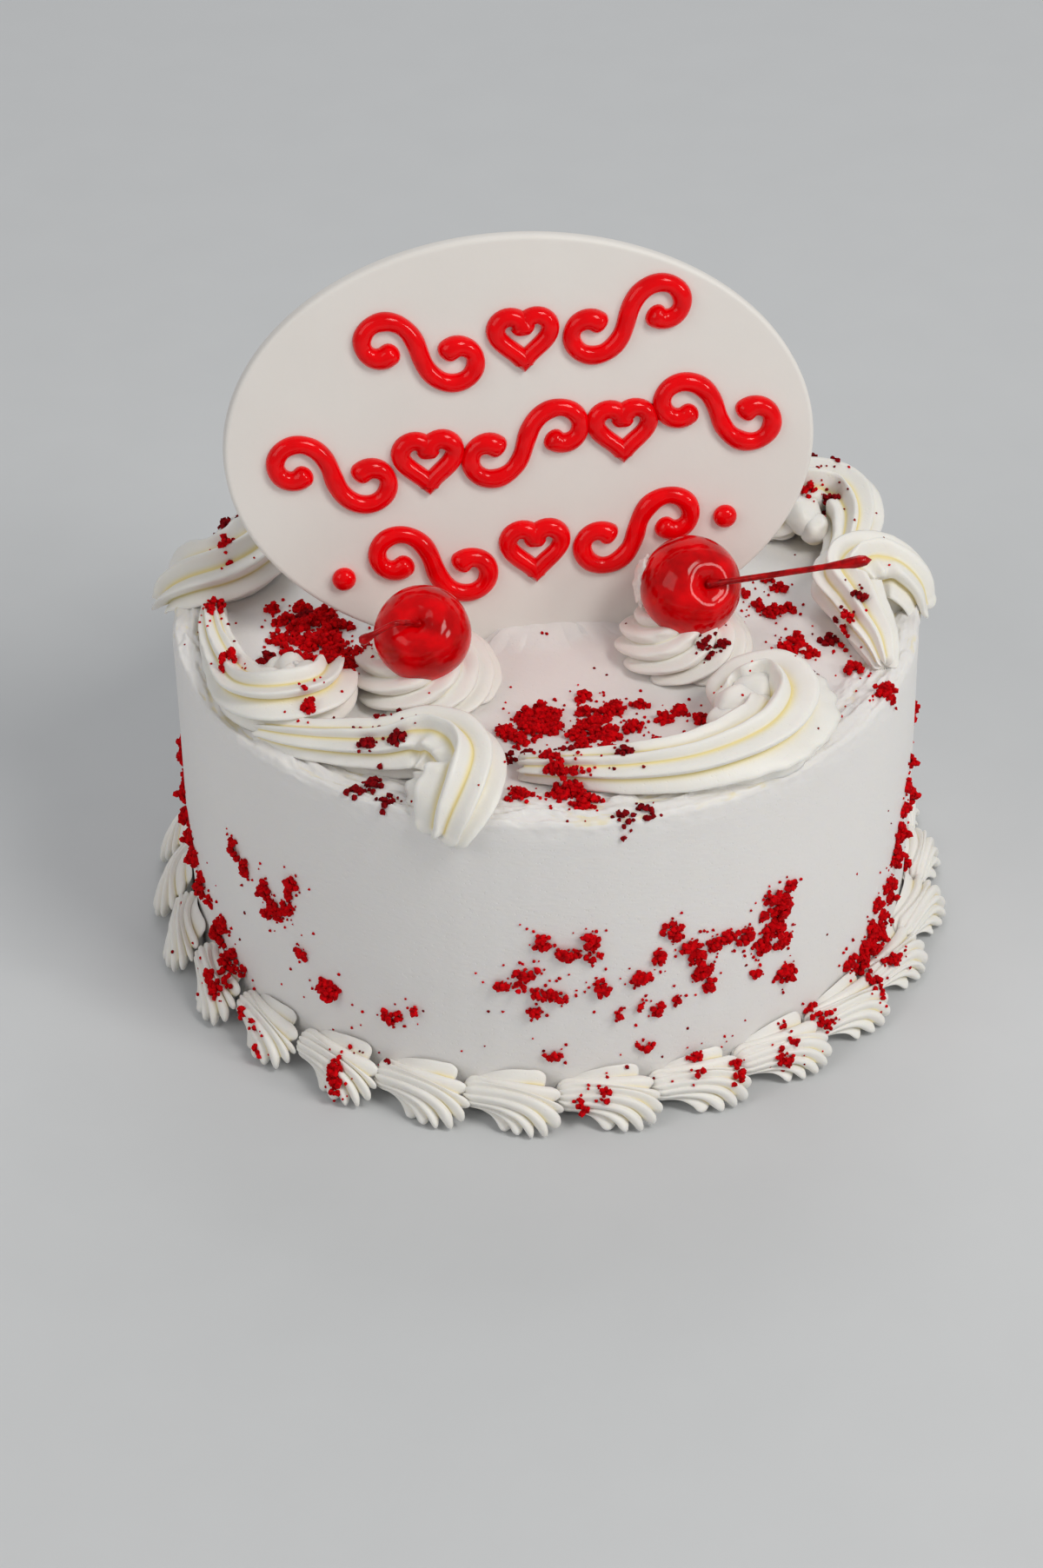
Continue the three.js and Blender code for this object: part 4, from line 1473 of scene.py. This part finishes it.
@dataclass
class GelOrnament:
    """Three climbing rows of scrolls, hearts and pearls piped on the plaque in gel."""

    plaque: SugarPlaque
    width: float = 5.4
    height: float = 2.7
    row_rise: float = 4.0
    scroll_length: float = 66.0
    heart_size: float = 7.2
    pearl_radius: float = 3.2
    faces_round: int = 16
    rows_per_mm: float = 1.5
    rows: tuple[tuple[float, tuple[float, ...], tuple[float, ...], tuple[float, ...]], ...] = (
        (31.0, (1.5,), (-26.0, 29.0), ()),
        (1.0, (-25.0, 27.0), (-50.5, 1.0, 52.5), ()),
        (-29.0, (2.5,), (-25.0, 30.0), (-49.0, 54.0)),
    )

    def scroll(self, middle: Vector, sign: float) -> list[Vector]:
        """The points of a scroll: an easy S whose two ends curl opposite ways.

        Args:
            middle: The middle of the scroll.
            sign: 1, or -1 for its mirror image.

        Returns:
            The points from one end to the other.
        """
        fine = 120
        path = [Vector((0.0, 0.0, 0.0))]
        for i in range(1, fine + 1):
            s = (2 * i - 1) / fine - 1
            heading = sign * (5.2 * abs(s) ** 1.6 - 1.3)
            step = Vector((math.cos(heading), math.sin(heading), 0.0)) * self.scroll_length / fine
            path.append(path[-1] + step)
        shift = middle - (path[0] + path[-1]) / 2
        return [point + shift for point in path[::3]]

    def heart(self, middle: Vector) -> list[Vector]:
        """The points of a heart drawn in one stroke from its notch, down to its point and back.

        Args:
            middle: The middle of the heart.

        Returns:
            The points in order.
        """
        steps = 36
        points = []
        for i in range(steps + 1):
            a = 2 * math.pi * (i + 0.6) / (steps + 1.2)
            x = math.sin(a) ** 3
            lobes = 0.81 * math.cos(a) - 0.31 * math.cos(2 * a)
            y = lobes - 0.13 * math.cos(3 * a) - 0.06 * math.cos(4 * a)
            points.append(middle + self.heart_size * Vector((x, y, 0.0)))
        return points

    def bead(self, path: list[Vector], seed: int) -> bmesh.types.BMesh:
        """One bead of gel along a stroke: a round ridge that swells at both its ends.

        Args:
            path: The points of the stroke.
            seed: What makes this bead uneven in its own way.

        Returns:
            The bead's shape, flat on the plaque.
        """
        length = sum((b - a).length for a, b in zip(path, path[1:]))
        cap = 0.045

        def place(u: float, v: float) -> Placed:
            """A point of the bead's skin.

            Args:
                u: The place round the bead, from 0 to 1.
                v: The place from one end of the stroke to the other, from 0 to 1.

            Returns:
                The place, in millimetres, and 0 for no groove.
            """
            t = min(1.0, max(0.0, (v - cap) / (1 - 2 * cap)))
            here = along_path(path, t)
            run = (along_path(path, min(1, t + 0.01)) - along_path(path, max(0, t - 0.01))).normalized()
            side = Vector((run.y, -run.x, 0.0))
            near_end = min(t, 1 - t) * length
            swell = 1 + 0.16 * math.exp(-((near_end / 3.0) ** 2)) - 0.06 * smoothstep(3.0, 9.0, near_end)
            swell *= 1 + 0.13 * noise.noise(Vector((t * length / 5.5, seed * 3.3, 0.0)))
            head, tail = max(0.0, 1 - v / cap), max(0.0, (v - 1 + cap) / cap)
            closing = math.cos(head * math.pi / 2) * math.cos(tail * math.pi / 2)
            angle = 2 * math.pi * u - math.pi / 2
            across = math.cos(angle) * self.width / 2 * swell * closing
            high = math.sin(angle)
            rise = self.height * swell * (high if high > 0 else 0.25 * high) * (0.35 + 0.65 * closing)
            forward = (math.sin(tail * math.pi / 2) - math.sin(head * math.pi / 2)) * self.width * 0.45
            return here + side * across + run * forward + Vector((0.0, 0.0, rise * closing)), 0.0

        return shaped_grid(self.faces_round, max(16, round(length * self.rows_per_mm)), place)

    def build(self, material: bpy.types.Material) -> bpy.types.Object:
        """Pipes every stroke, and stands the ornament up with the plaque.

        Args:
            material: The red gel.

        Returns:
            The finished piece.
        """
        beads = []
        for v, hearts, scrolls, pearls in self.rows:

            def at(u: float) -> Vector:
                """A place on the row, which climbs to the right."""
                return Vector((u, v + self.row_rise * u / 50, 0.0))

            for i, u in enumerate(scrolls):
                beads.append(self.bead(self.scroll(at(u), -1.0 if i % 2 else 1.0), len(beads)))
            for u in hearts:
                beads.append(self.bead(self.heart(at(u)), len(beads)))
            for u in pearls:
                pearl = bmesh.new()
                bmesh.ops.create_uvsphere(pearl, u_segments=24, v_segments=16, radius=self.pearl_radius)
                bmesh.ops.scale(pearl, vec=(1.0, 1.0, 0.8), verts=pearl.verts)
                bmesh.ops.translate(pearl, vec=at(u) + Vector((0.0, 0.0, 0.6)), verts=pearl.verts)
                beads.append(pearl)
        bm = merged(beads)
        bmesh.ops.transform(bm, matrix=self.plaque.stand(), verts=bm.verts)
        return finished(bm, "gel_ornament", material, ["plaque"])


# ---------------------------------------------------------------- crumbs
# Clumps stuck to the wall and the shells, placed after the photograph: (angle, height, size). Some of the
# centres are places picked in it, turned into an angle and a height with the fitted camera.
WALL_CLUMPS = (
    (-146, 56, 2.6), (-143, 53, 3.0), (-139, 50, 3.4), (-136, 46, 2.8), (-134, 48, 3.2), (-132, 58, 2.6),
    (-138, 43, 2.0), (-131, 36, 2.0), (-126, 27, 5.0), (-115, 26, 2.6), (-111, 30, 1.6), (-133, 53, 1.8),
    (-174, 42, 3.0), (-171, 38, 3.4), (-168, 34, 3.0), (-165, 31, 3.6), (-161, 27, 3.0), (-158, 25, 2.2),
    (-154, 19, 4.4), (-150, 15, 4.0), (-147, 12, 3.0), (-152, 23, 2.4), (-170, 30, 2.0), (-163, 22, 1.8),
    (-91, 57, 3.0), (-88, 54, 3.4), (-85, 57, 3.0), (-84, 52, 2.0), (-94, 47, 2.8), (-92, 40, 2.6),
    (-89, 40, 3.0), (-95, 42, 1.8), (-93, 34, 2.0), (-98, 43, 2.6), (-83, 41, 2.8), (-77, 43, 3.2),
    (-72, 56, 2.8), (-74, 49, 2.2), (-70, 50, 3.2), (-68, 46, 3.8), (-67, 41, 3.6), (-66, 36, 2.6),
    (-65, 50, 2.8), (-63, 50, 2.6), (-60, 48, 2.8), (-55, 57, 3.2), (-54, 52, 3.8), (-55, 46, 3.8),
    (-57, 42, 3.0), (-53, 41, 2.8), (-52, 29, 3.4), (-57, 53, 1.8), (-52, 58, 1.8), (-58, 34, 1.6),
    (-80, 32, 1.8), (-77, 34, 1.6), (-74, 31, 1.8), (-71, 33, 1.4), (-90, 20, 2.4), (-76, 20, 1.8),
    (-21, 36, 3.2), (-19, 41, 3.4), (-17, 47, 3.0), (-20, 31, 2.4), (-15, 52, 2.4), (-12, 56, 2.0),
    (-36, 17, 2.8), (-33, 14, 3.4), (-31, 17, 3.6), (-29, 12, 3.8), (-27, 15, 3.4), (-34, 10, 2.8),
    (-25, 19, 3.0), (-22, 23, 2.4), (-30, 22, 2.2), (-28, 28, 2.6), (-24, 29, 2.8), (-21, 27, 2.0),
    (-142, 8, 1.6), (-138, 10, 1.4), (-136, 5, 2.2), (-122, 10, 3.4), (-121, 6, 2.8), (-55, 9, 2.4),
    (-53, 12, 1.6), (-46, 10, 2.8), (-69, 12, 2.4), (-63, 9, 2.8), (-86, 7, 2.2), (-83, 11, 1.6),
)
# Clumps that lie on the top and on what is piped there, placed in the same way: (x, y, size).
TOP_CLUMPS = (
    (-66, -12, 3.2), (-62, -17, 3.6), (-58, -22, 3.8), (-56, -28, 4.2), (-60, -26, 3.8), (-54, -34, 3.4),
    (-64, -24, 2.8), (-68, -8, 2.4), (-52, -29, 2.8), (-57, -38, 2.4), (-66, -30, 2.4), (-61, -10, 2.2),
    (-70, -18, 2.0), (-50, -24, 2.2), (-89, -5, 3.0), (-86, 8, 2.0), (-84, -38, 3.0), (-61, -60, 3.2),
    (-12, -60, 2.8), (-6, -52, 3.4), (-2, -49, 3.2), (2, -56, 3.6), (-4, -58, 3.8), (6, -61, 3.4),
    (14, -52, 2.8), (18, -49, 3.2), (16, -60, 3.6), (22, -58, 2.8), (24, -48, 2.4), (10, -51, 2.4),
    (28, -65, 2.0), (11, -60, 2.8), (30, -54, 3.0), (35, -50, 2.4), (39, -54, 2.2), (9, -43, 2.2),
    (2, -85, 3.8), (6, -88, 4.2), (9, -92, 3.2), (0, -80, 2.4), (14, -79, 2.6), (-8, -88, 2.6),
    (62, -4, 3.4), (58, 0, 2.2), (66, -2, 2.0), (64, -22, 3.2), (67, -18, 2.8), (61, -28, 2.6),
    (70, -24, 2.0), (54, 6, 1.6), (64, 8, 2.0), (61, 12, 1.6), (80, -20, 2.4), (81, -33, 2.6),
    (88, -44, 3.2), (59, -36, 1.6), (56, -42, 1.6), (60, -44, 1.4), (70, 38, 2.4), (74, 37, 2.4),
    (-60, -2, 3.6), (-57, -8, 3.8), (-63, -6, 3.4), (-70, -4, 3.0), (-74, 2, 2.4), (-66, 2, 2.6),
    (-58, -15, 4.2), (-64, -14, 3.6), (-56, -20, 3.6), (-59, -33, 3.8), (-66, -35, 2.8), (-70, -26, 2.8),
    (-72, -12, 2.6), (-55, -26, 3.0), (-8, -63, 2.4), (2, -52, 3.0), (12, -56, 3.2), (8, -66, 2.2),
)
# Darker clumps on the top, from the sponge's crust, placed in the same way: (x, y, size).
DARK_CLUMPS = (
    (-10, -70, 2.4), (-5, -74, 2.6), (1, -73, 2.8), (8, -72, 2.4), (15, -70, 2.8), (22, -72, 2.4),
    (30, -71, 1.8), (4, -78, 2.4), (-48, -62, 3.0), (-44, -66, 3.0), (-38, -66, 2.4), (-34, -66, 2.0),
    (-47, -78, 2.4), (-45, -84, 2.6), (-50, -86, 2.0), (-42, -90, 1.8), (-38, -79, 2.4), (19, -84, 2.2),
    (19, -98, 2.0), (24, -96, 1.8), (76, -17, 2.6), (84, -15, 2.2), (70, -36, 2.2), (-64, -2, 2.4),
    (-75, -22, 2.2), (-88, 44, 3.2), (-84, 46, 2.8), (-80, 40, 2.0), (-80, 18, 1.8), (-77, 28, 1.8),
    (76, 54, 2.8), (80, 58, 2.2), (82, 50, 2.0), (42, -33, 1.8), (46, -31, 1.6), (79, 36, 2.2),
)


@dataclass(frozen=True)
class Grain:
    """One crumb of sponge: where it lies, the way its bed faces, and its radius."""

    place: Vector
    normal: Vector
    radius: float


@dataclass
class CrumbScatter:
    """Red sponge crumbled over the cake by hand: ragged clumps of small grains, and loose grains."""

    carriers: Sequence[bpy.types.Object]
    seed: int = 5
    hidden_wall_clumps: int = 34
    hidden_top_clumps: int = 14
    loose_grains: int = 260
    drop_height: float = 60.0
    lump: tuple[float, float] = (0.46, 1.0)
    speck: tuple[float, float] = (0.25, 0.55)
    density: float = 5.9
    wall_share: float = 1.08
    top_share: float = 1.22
    branching: float = 0.45
    raggedness: float = 1.35
    specks_per_mm: float = 1.7
    loose_wall_share: float = 0.45
    loose_dark_share: float = 0.3
    bump_room: float = 1.6
    dents: float = 0.55
    chips: float = 0.12

    def __post_init__(self) -> None:
        """Finds the surfaces that crumbs can lie on."""
        whole = bmesh.new()
        for carrier in self.carriers:
            whole.from_mesh(carrier.data)
        self.tree = BVHTree.FromBMesh(whole)
        whole.free()
        self.rng = random.Random(self.seed)

    def on_wall(self, angle: float, height: float, aside: float, up: float) -> Landing | None:
        """The place and the normal where a crumb thrown at the side of the cake sticks.

        Args:
            angle: The angle round the cake, in degrees.
            height: The height that it is thrown at.
            aside: How far to the side of that angle.
            up: How far above that height.

        Returns:
            The place and the way that the surface faces, or None for a miss.
        """
        out = polar(1.0, angle, 0.0)
        start = out * 2 * CAKE_RADIUS + polar(1.0, angle + 90, 0.0) * aside + UP * max(1.0, height + up)
        hit, normal, _, _ = self.tree.ray_cast(start * MM, -out)
        return (hit / MM, normal) if hit else None

    def on_top(self, x: float, y: float, aside: float, up: float) -> Landing | None:
        """The place and the normal where a crumb dropped on the cake comes to lie.

        Args:
            x: The place to the right.
            y: The place to the back.
            aside: How far to the right of it.
            up: How far behind it.

        Returns:
            The place and the way that the surface faces, or None for a miss.
        """
        start = Vector((x + aside, y + up, CAKE_HEIGHT + self.drop_height))
        hit, normal, _, _ = self.tree.ray_cast(start * MM, -UP)
        return (hit / MM, normal) if hit else None

    def clump(self, land: Lander, size: float) -> list[Grain]:
        """The grains of one ragged clump, and the loose ones that broke off it.

        Args:
            land: Gives the place and the normal where a grain lands, from how far it goes aside and up.
            size: The clump's rough radius.

        Returns:
            The clump's grains.
        """
        rng = self.rng
        lean, slim = rng.uniform(0, math.pi), rng.uniform(0.5, 0.9)
        grains = []

        def drop(a: float, b: float, radius: float, pile: float) -> None:
            """Adds one grain where it lands.

            Args:
                a: How far it goes along the clump's long side.
                b: How far it goes across that.
                radius: Its radius.
                pile: How far the grains under it raise it.
            """
            aside = a * math.cos(lean) - b * math.sin(lean)
            up = a * math.sin(lean) + b * math.cos(lean)
            landed = land(aside, up)
            if landed:
                place, normal = landed
                grains.append(Grain(place + normal * (0.4 * radius + pile), normal, radius))

        lumps = [(0.0, 0.0, self.lump[1])]
        for _ in range(round(self.density * slim * size**2)):
            a, b, near = rng.choice(lumps[-6:] if rng.random() < self.branching else lumps)
            radius = rng.uniform(*self.lump)
            turn = rng.uniform(0, 2 * math.pi)
            step = (near + radius) * rng.uniform(0.7, 1.05)
            a, b = a + step * math.cos(turn), b + step * math.sin(turn)
            if (a / size) ** 2 + (b / (size * slim)) ** 2 < self.raggedness:
                lumps.append((a, b, radius))
        for a, b, radius in lumps:
            inside = max(0.0, 1 - math.hypot(a / size, b / (size * slim)))
            drop(a, b, radius, 0.75 * size * inside * rng.random())
        for _ in range(round(self.specks_per_mm * size)):
            turn, reach = rng.uniform(0, 2 * math.pi), size * rng.triangular(0.9, 3.0, 1.0)
            drop(reach * math.cos(turn), reach * math.sin(turn), rng.uniform(*self.speck), 0.0)
        return grains

    def scatter(self) -> dict[CrumbShade, list[Grain]]:
        """Every grain on the cake: in front by the tables, and at the back in the same way by chance.

        Returns:
            The grains of each shade.
        """
        rng = self.rng
        wall = list(WALL_CLUMPS)
        top = list(TOP_CLUMPS)
        for _ in range(self.hidden_wall_clumps):
            wall.append((rng.uniform(-8, 184), rng.triangular(6, 62, 34), rng.uniform(1.6, 4.0)))
        for _ in range(self.hidden_top_clumps):
            top.append((rng.uniform(-55, 55), rng.uniform(20, 80), rng.uniform(1.6, 3.8)))
        grains: dict[CrumbShade, list[Grain]] = {shade: [] for shade in CrumbShade}
        for angle, height, size in wall:
            found = self.clump(lambda a, b: self.on_wall(angle, height, a, b), size * self.wall_share)
            grains[CrumbShade.BRIGHT] += found
        for shade, clumps in ((CrumbShade.BRIGHT, top), (CrumbShade.DARK, DARK_CLUMPS)):
            for x, y, size in clumps:
                grains[shade] += self.clump(lambda a, b: self.on_top(x, y, a, b), size * self.top_share)
        for _ in range(self.loose_grains):
            if rng.random() < self.loose_wall_share:
                landed = self.on_wall(rng.uniform(-180, 180), rng.triangular(2, 60, 22), 0, 0)
            else:
                place = polar(CAKE_RADIUS * math.sqrt(rng.random()), rng.uniform(0, 360), 0)
                landed = self.on_top(place.x, place.y, 0, 0)
            if landed:
                shade = CrumbShade.DARK if rng.random() < self.loose_dark_share else CrumbShade.BRIGHT
                grains[shade].append(Grain(*landed, rng.uniform(*self.speck)))
        return {shade: [grain for grain in found if self.fits(grain)] for shade, found in grains.items()}

    def fits(self, grain: Grain) -> bool:
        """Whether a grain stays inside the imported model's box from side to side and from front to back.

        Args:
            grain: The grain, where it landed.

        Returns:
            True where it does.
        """
        room = self.bump_room * grain.radius
        low, high = (Vector(corner) / MM for corner in CAD_BOX)
        return all(low[i] + room < grain.place[i] < high[i] - room for i in (0, 1))

    def crumb(self, grain: Grain) -> bmesh.types.BMesh:
        """One grain: a dented lump of sponge.

        Args:
            grain: Its place, its bed and its size.

        Returns:
            The grain's shape.
        """
        rng = self.rng
        bm = bmesh.new()
        bmesh.ops.create_icosphere(bm, subdivisions=1, radius=grain.radius)
        offset = Vector([rng.uniform(0, 50) for _ in range(3)])
        for vert in bm.verts:
            bumps = noise.noise(vert.co / grain.radius * 1.6 + offset)
            vert.co *= 1 + self.dents * bumps + rng.uniform(-self.chips, self.chips)
        turn = Quaternion(grain.normal, rng.uniform(0, 2 * math.pi))
        bmesh.ops.rotate(bm, matrix=turn.to_matrix(), verts=bm.verts)
        bmesh.ops.translate(bm, vec=grain.place, verts=bm.verts)
        return bm

    def build(self, materials: dict[CrumbShade, bpy.types.Material]) -> None:
        """Drops every grain on what lies under it, and dresses the two shades of crumb.

        Args:
            materials: The finish of each shade.
        """
        for shade, grains in self.scatter().items():
            parts = [self.crumb(grain) for grain in grains]
            piece = finished(merged(parts), f"sponge_crumbs_{shade.value}", materials[shade])
            piece.data.polygons.foreach_set("use_smooth", [False] * len(piece.data.polygons))


# ---------------------------------------------------------------- the studio
@dataclass(frozen=True)
class SoftLight:
    """A square soft light that faces the cake; its place and its side are in metres."""

    name: str
    place: tuple[float, float, float]
    side: float
    watts: float
    colour: str


LIGHTS = (
    SoftLight("key_softbox", (0.85, -0.75, 1.45), 0.55, 10.5, "#FFFDF8"),
    SoftLight("side_softbox", (1.25, -0.7, 0.72), 0.35, 4.2, "#FFFDF8"),
    SoftLight("fill_softbox", (-1.1, -0.9, 1.1), 1.0, 5.6, "#FFFCF8"),
    SoftLight("back_softbox", (0.1, 1.2, 1.3), 0.9, 5.3, "#FFFFFF"),
)


@dataclass
class Studio:
    """A plain pale floor, soft lights and the camera at the photograph's viewing angle."""

    camera_place: Vector = field(default_factory=lambda: Vector((-7.29, -993.66, 736.15)))
    camera_aim: Vector = field(default_factory=lambda: Vector((-7.29, 0.0, 35.9)))
    camera_roll: float = -0.91
    sensor_height: float = 36.0
    focal_pixels: float = 5011.0
    frame_pixels: float = 1804.0
    floor_half: float = 2500.0
    light_aim: Vector = field(default_factory=lambda: Vector((0.0, 0.0, 0.09)))
    sky: str = "#E6E8EA"
    sky_strength: float = 0.35

    def build_camera(self) -> None:
        """Sets up the camera, whose frame is 1200 by 1804."""
        data = bpy.data.cameras.new("camera")
        data.sensor_fit = "VERTICAL"
        data.sensor_height = self.sensor_height
        data.lens = self.sensor_height * (self.focal_pixels / self.frame_pixels)
        data.clip_end = 20.0
        camera = bpy.data.objects.new("camera", data)
        bpy.context.scene.collection.objects.link(camera)
        back = (self.camera_place - self.camera_aim).normalized()
        across = UP.cross(back).normalized()
        raised = back.cross(across)
        roll = math.radians(self.camera_roll)
        right = across * math.cos(roll) + raised * math.sin(roll)
        pose = Matrix((right, back.cross(right), back)).transposed().to_4x4()
        pose.translation = self.camera_place * MM
        camera.matrix_world = pose
        bpy.context.scene.camera = camera

    def build_floor(self, material: bpy.types.Material) -> None:
        """Lays the paper floor that the cake stands on.

        Args:
            material: The paper.
        """
        bm = bmesh.new()
        bmesh.ops.create_grid(bm, x_segments=1, y_segments=1, size=self.floor_half * MM)
        mesh = bpy.data.meshes.new("paper_floor")
        bm.to_mesh(mesh)
        bm.free()
        mesh.materials.append(material)
        floor = bpy.data.objects.new("paper_floor", mesh)
        floor.location.z = -0.1 * MM
        bpy.context.scene.collection.objects.link(floor)

    def add_light(self, light: SoftLight) -> None:
        """Hangs one soft light that faces the cake.

        Args:
            light: Its place, side, power and colour.
        """
        data = bpy.data.lights.new(light.name, "AREA")
        data.size = light.side
        data.energy = light.watts
        data.color = linear(light.colour)[:3]
        lamp = bpy.data.objects.new(light.name, data)
        lamp.location = light.place
        aim = self.light_aim - Vector(light.place)
        lamp.rotation_mode = "QUATERNION"
        lamp.rotation_quaternion = aim.to_track_quat("-Z", "Y")
        bpy.context.scene.collection.objects.link(lamp)

    def build(self, material: bpy.types.Material) -> None:
        """Sets up the floor, the lights and the even sky light.

        Args:
            material: The floor's paper.
        """
        self.build_floor(material)
        for light in LIGHTS:
            self.add_light(light)
        world = bpy.data.worlds.new("studio_air")
        world.use_nodes = True
        sky = world.node_tree.nodes["Background"]
        sky.inputs["Color"].default_value = linear(self.sky)
        sky.inputs["Strength"].default_value = self.sky_strength
        bpy.context.scene.world = world
        bpy.context.scene.view_settings.view_transform = "Standard"


# ---------------------------------------------------------------- assembly
def build_cherries() -> tuple[list[CreamSwirl], list[GlazedCherry]]:
    """The two swirls and the two cherries on them.

    Returns:
        The swirls and the cherries, left before right.
    """
    swirls = [
        CreamSwirl("left", Vector((-32.2, -35.6, CAKE_HEIGHT + 0.3)), 20.4, 15.0, seed=3, tilt=3.0),
        CreamSwirl("right", Vector((36.6, -22.4, CAKE_HEIGHT + 0.3)), 18.8, 14.5, seed=8, tilt=2.0),
    ]
    cherries = [
        GlazedCherry(
            side="left",
            centre=Vector((-32.6, -37.6, CAKE_HEIGHT + 17.6)),
            radius=12.4,
            dimple=Vector((-0.08, -0.62, 0.78)),
            stem_reach=Vector((-15.5, -6.5, -1.5)),
            stem_rise=5.5,
            stem_radius=0.75,
            seed=2,
        ),
        GlazedCherry(
            side="right",
            centre=Vector((38.4, -19.6, CAKE_HEIGHT + 19.4)),
            radius=13.2,
            dimple=Vector((0.42, -0.74, 0.53)),
            stem_reach=Vector((43.0, -2.5, 8.5)),
            stem_rise=2.2,
            stem_radius=0.85,
            seed=5,
        ),
    ]
    return swirls, cherries


def main() -> None:
    """Builds the studio and every piece of the cake, in order."""
    logging.basicConfig(level=logging.INFO, format="%(message)s")
    studio = Studio()
    studio.build_camera()
    studio.build(StudioPaper().material())

    smooth_cream = WhippedCream(
        name="smoothed_whipped_cream",
        crest="#F1EFED",
        # The coat's painted shade, for the dips of the dragged cream at the top's edge.
        groove_shade="#F0E2B0",
        cloud="#ECE9E7",
        cloud_size=40.0,
        drag_width=2.2,
        drag_depth=0.1,
        stretch=(1.0, 1.0, 2.4),
        roughness=0.5,
    ).material()
    piped_cream = WhippedCream(name="piped_whipped_cream").material()
    gel = GlossySyrup("red_piping_gel", "#FC000A", "#E80008", 6.0, 0.14, 0.1, 0.05).material()
    cherry_skin = GlossySyrup("candied_cherry_skin", "#F0000A", "#BC0004", 7.0, 0.16, 0.2, 0.1).material()
    stalk = GlossySyrup("candied_cherry_stalk", "#C4060C", "#880206", 2.0, 0.3, 0.2, 0.05).material()

    carriers = [CreamCoat().build(smooth_cream)]
    for i, measures in enumerate(COMMAS):
        carriers.append(PipedComma(i + 1, *measures).build(piped_cream))
    carriers += ShellBorder().build(piped_cream)
    swirls, cherries = build_cherries()
    carriers += [swirl.build(piped_cream) for swirl in swirls]
    for cherry in cherries:
        cherry.build_fruit(cherry_skin)
        cherry.build_stem(stalk)
    dab = CreamDab(
        name="cream_dab_right",
        centre=Vector((26.6, -17.0, CAKE_HEIGHT + 20.0)),
        radii=Vector((3.0, 5.5, 7.2)),
        lean=10.0,
    )
    dab.build(piped_cream)
    plaque = SugarPlaque()
    plaque.build(SugarPaste().material())
    GelOrnament(plaque).build(gel)
    CrumbScatter(carriers).build(
        {
            CrumbShade.BRIGHT: RedSponge("bright_sponge_crumb", "#DC000C", "#A00008").material(),
            CrumbShade.DARK: RedSponge("dark_sponge_crumb", "#9A0610", "#5C0208").material(),
        }
    )


if __name__ == "__main__":
    main()
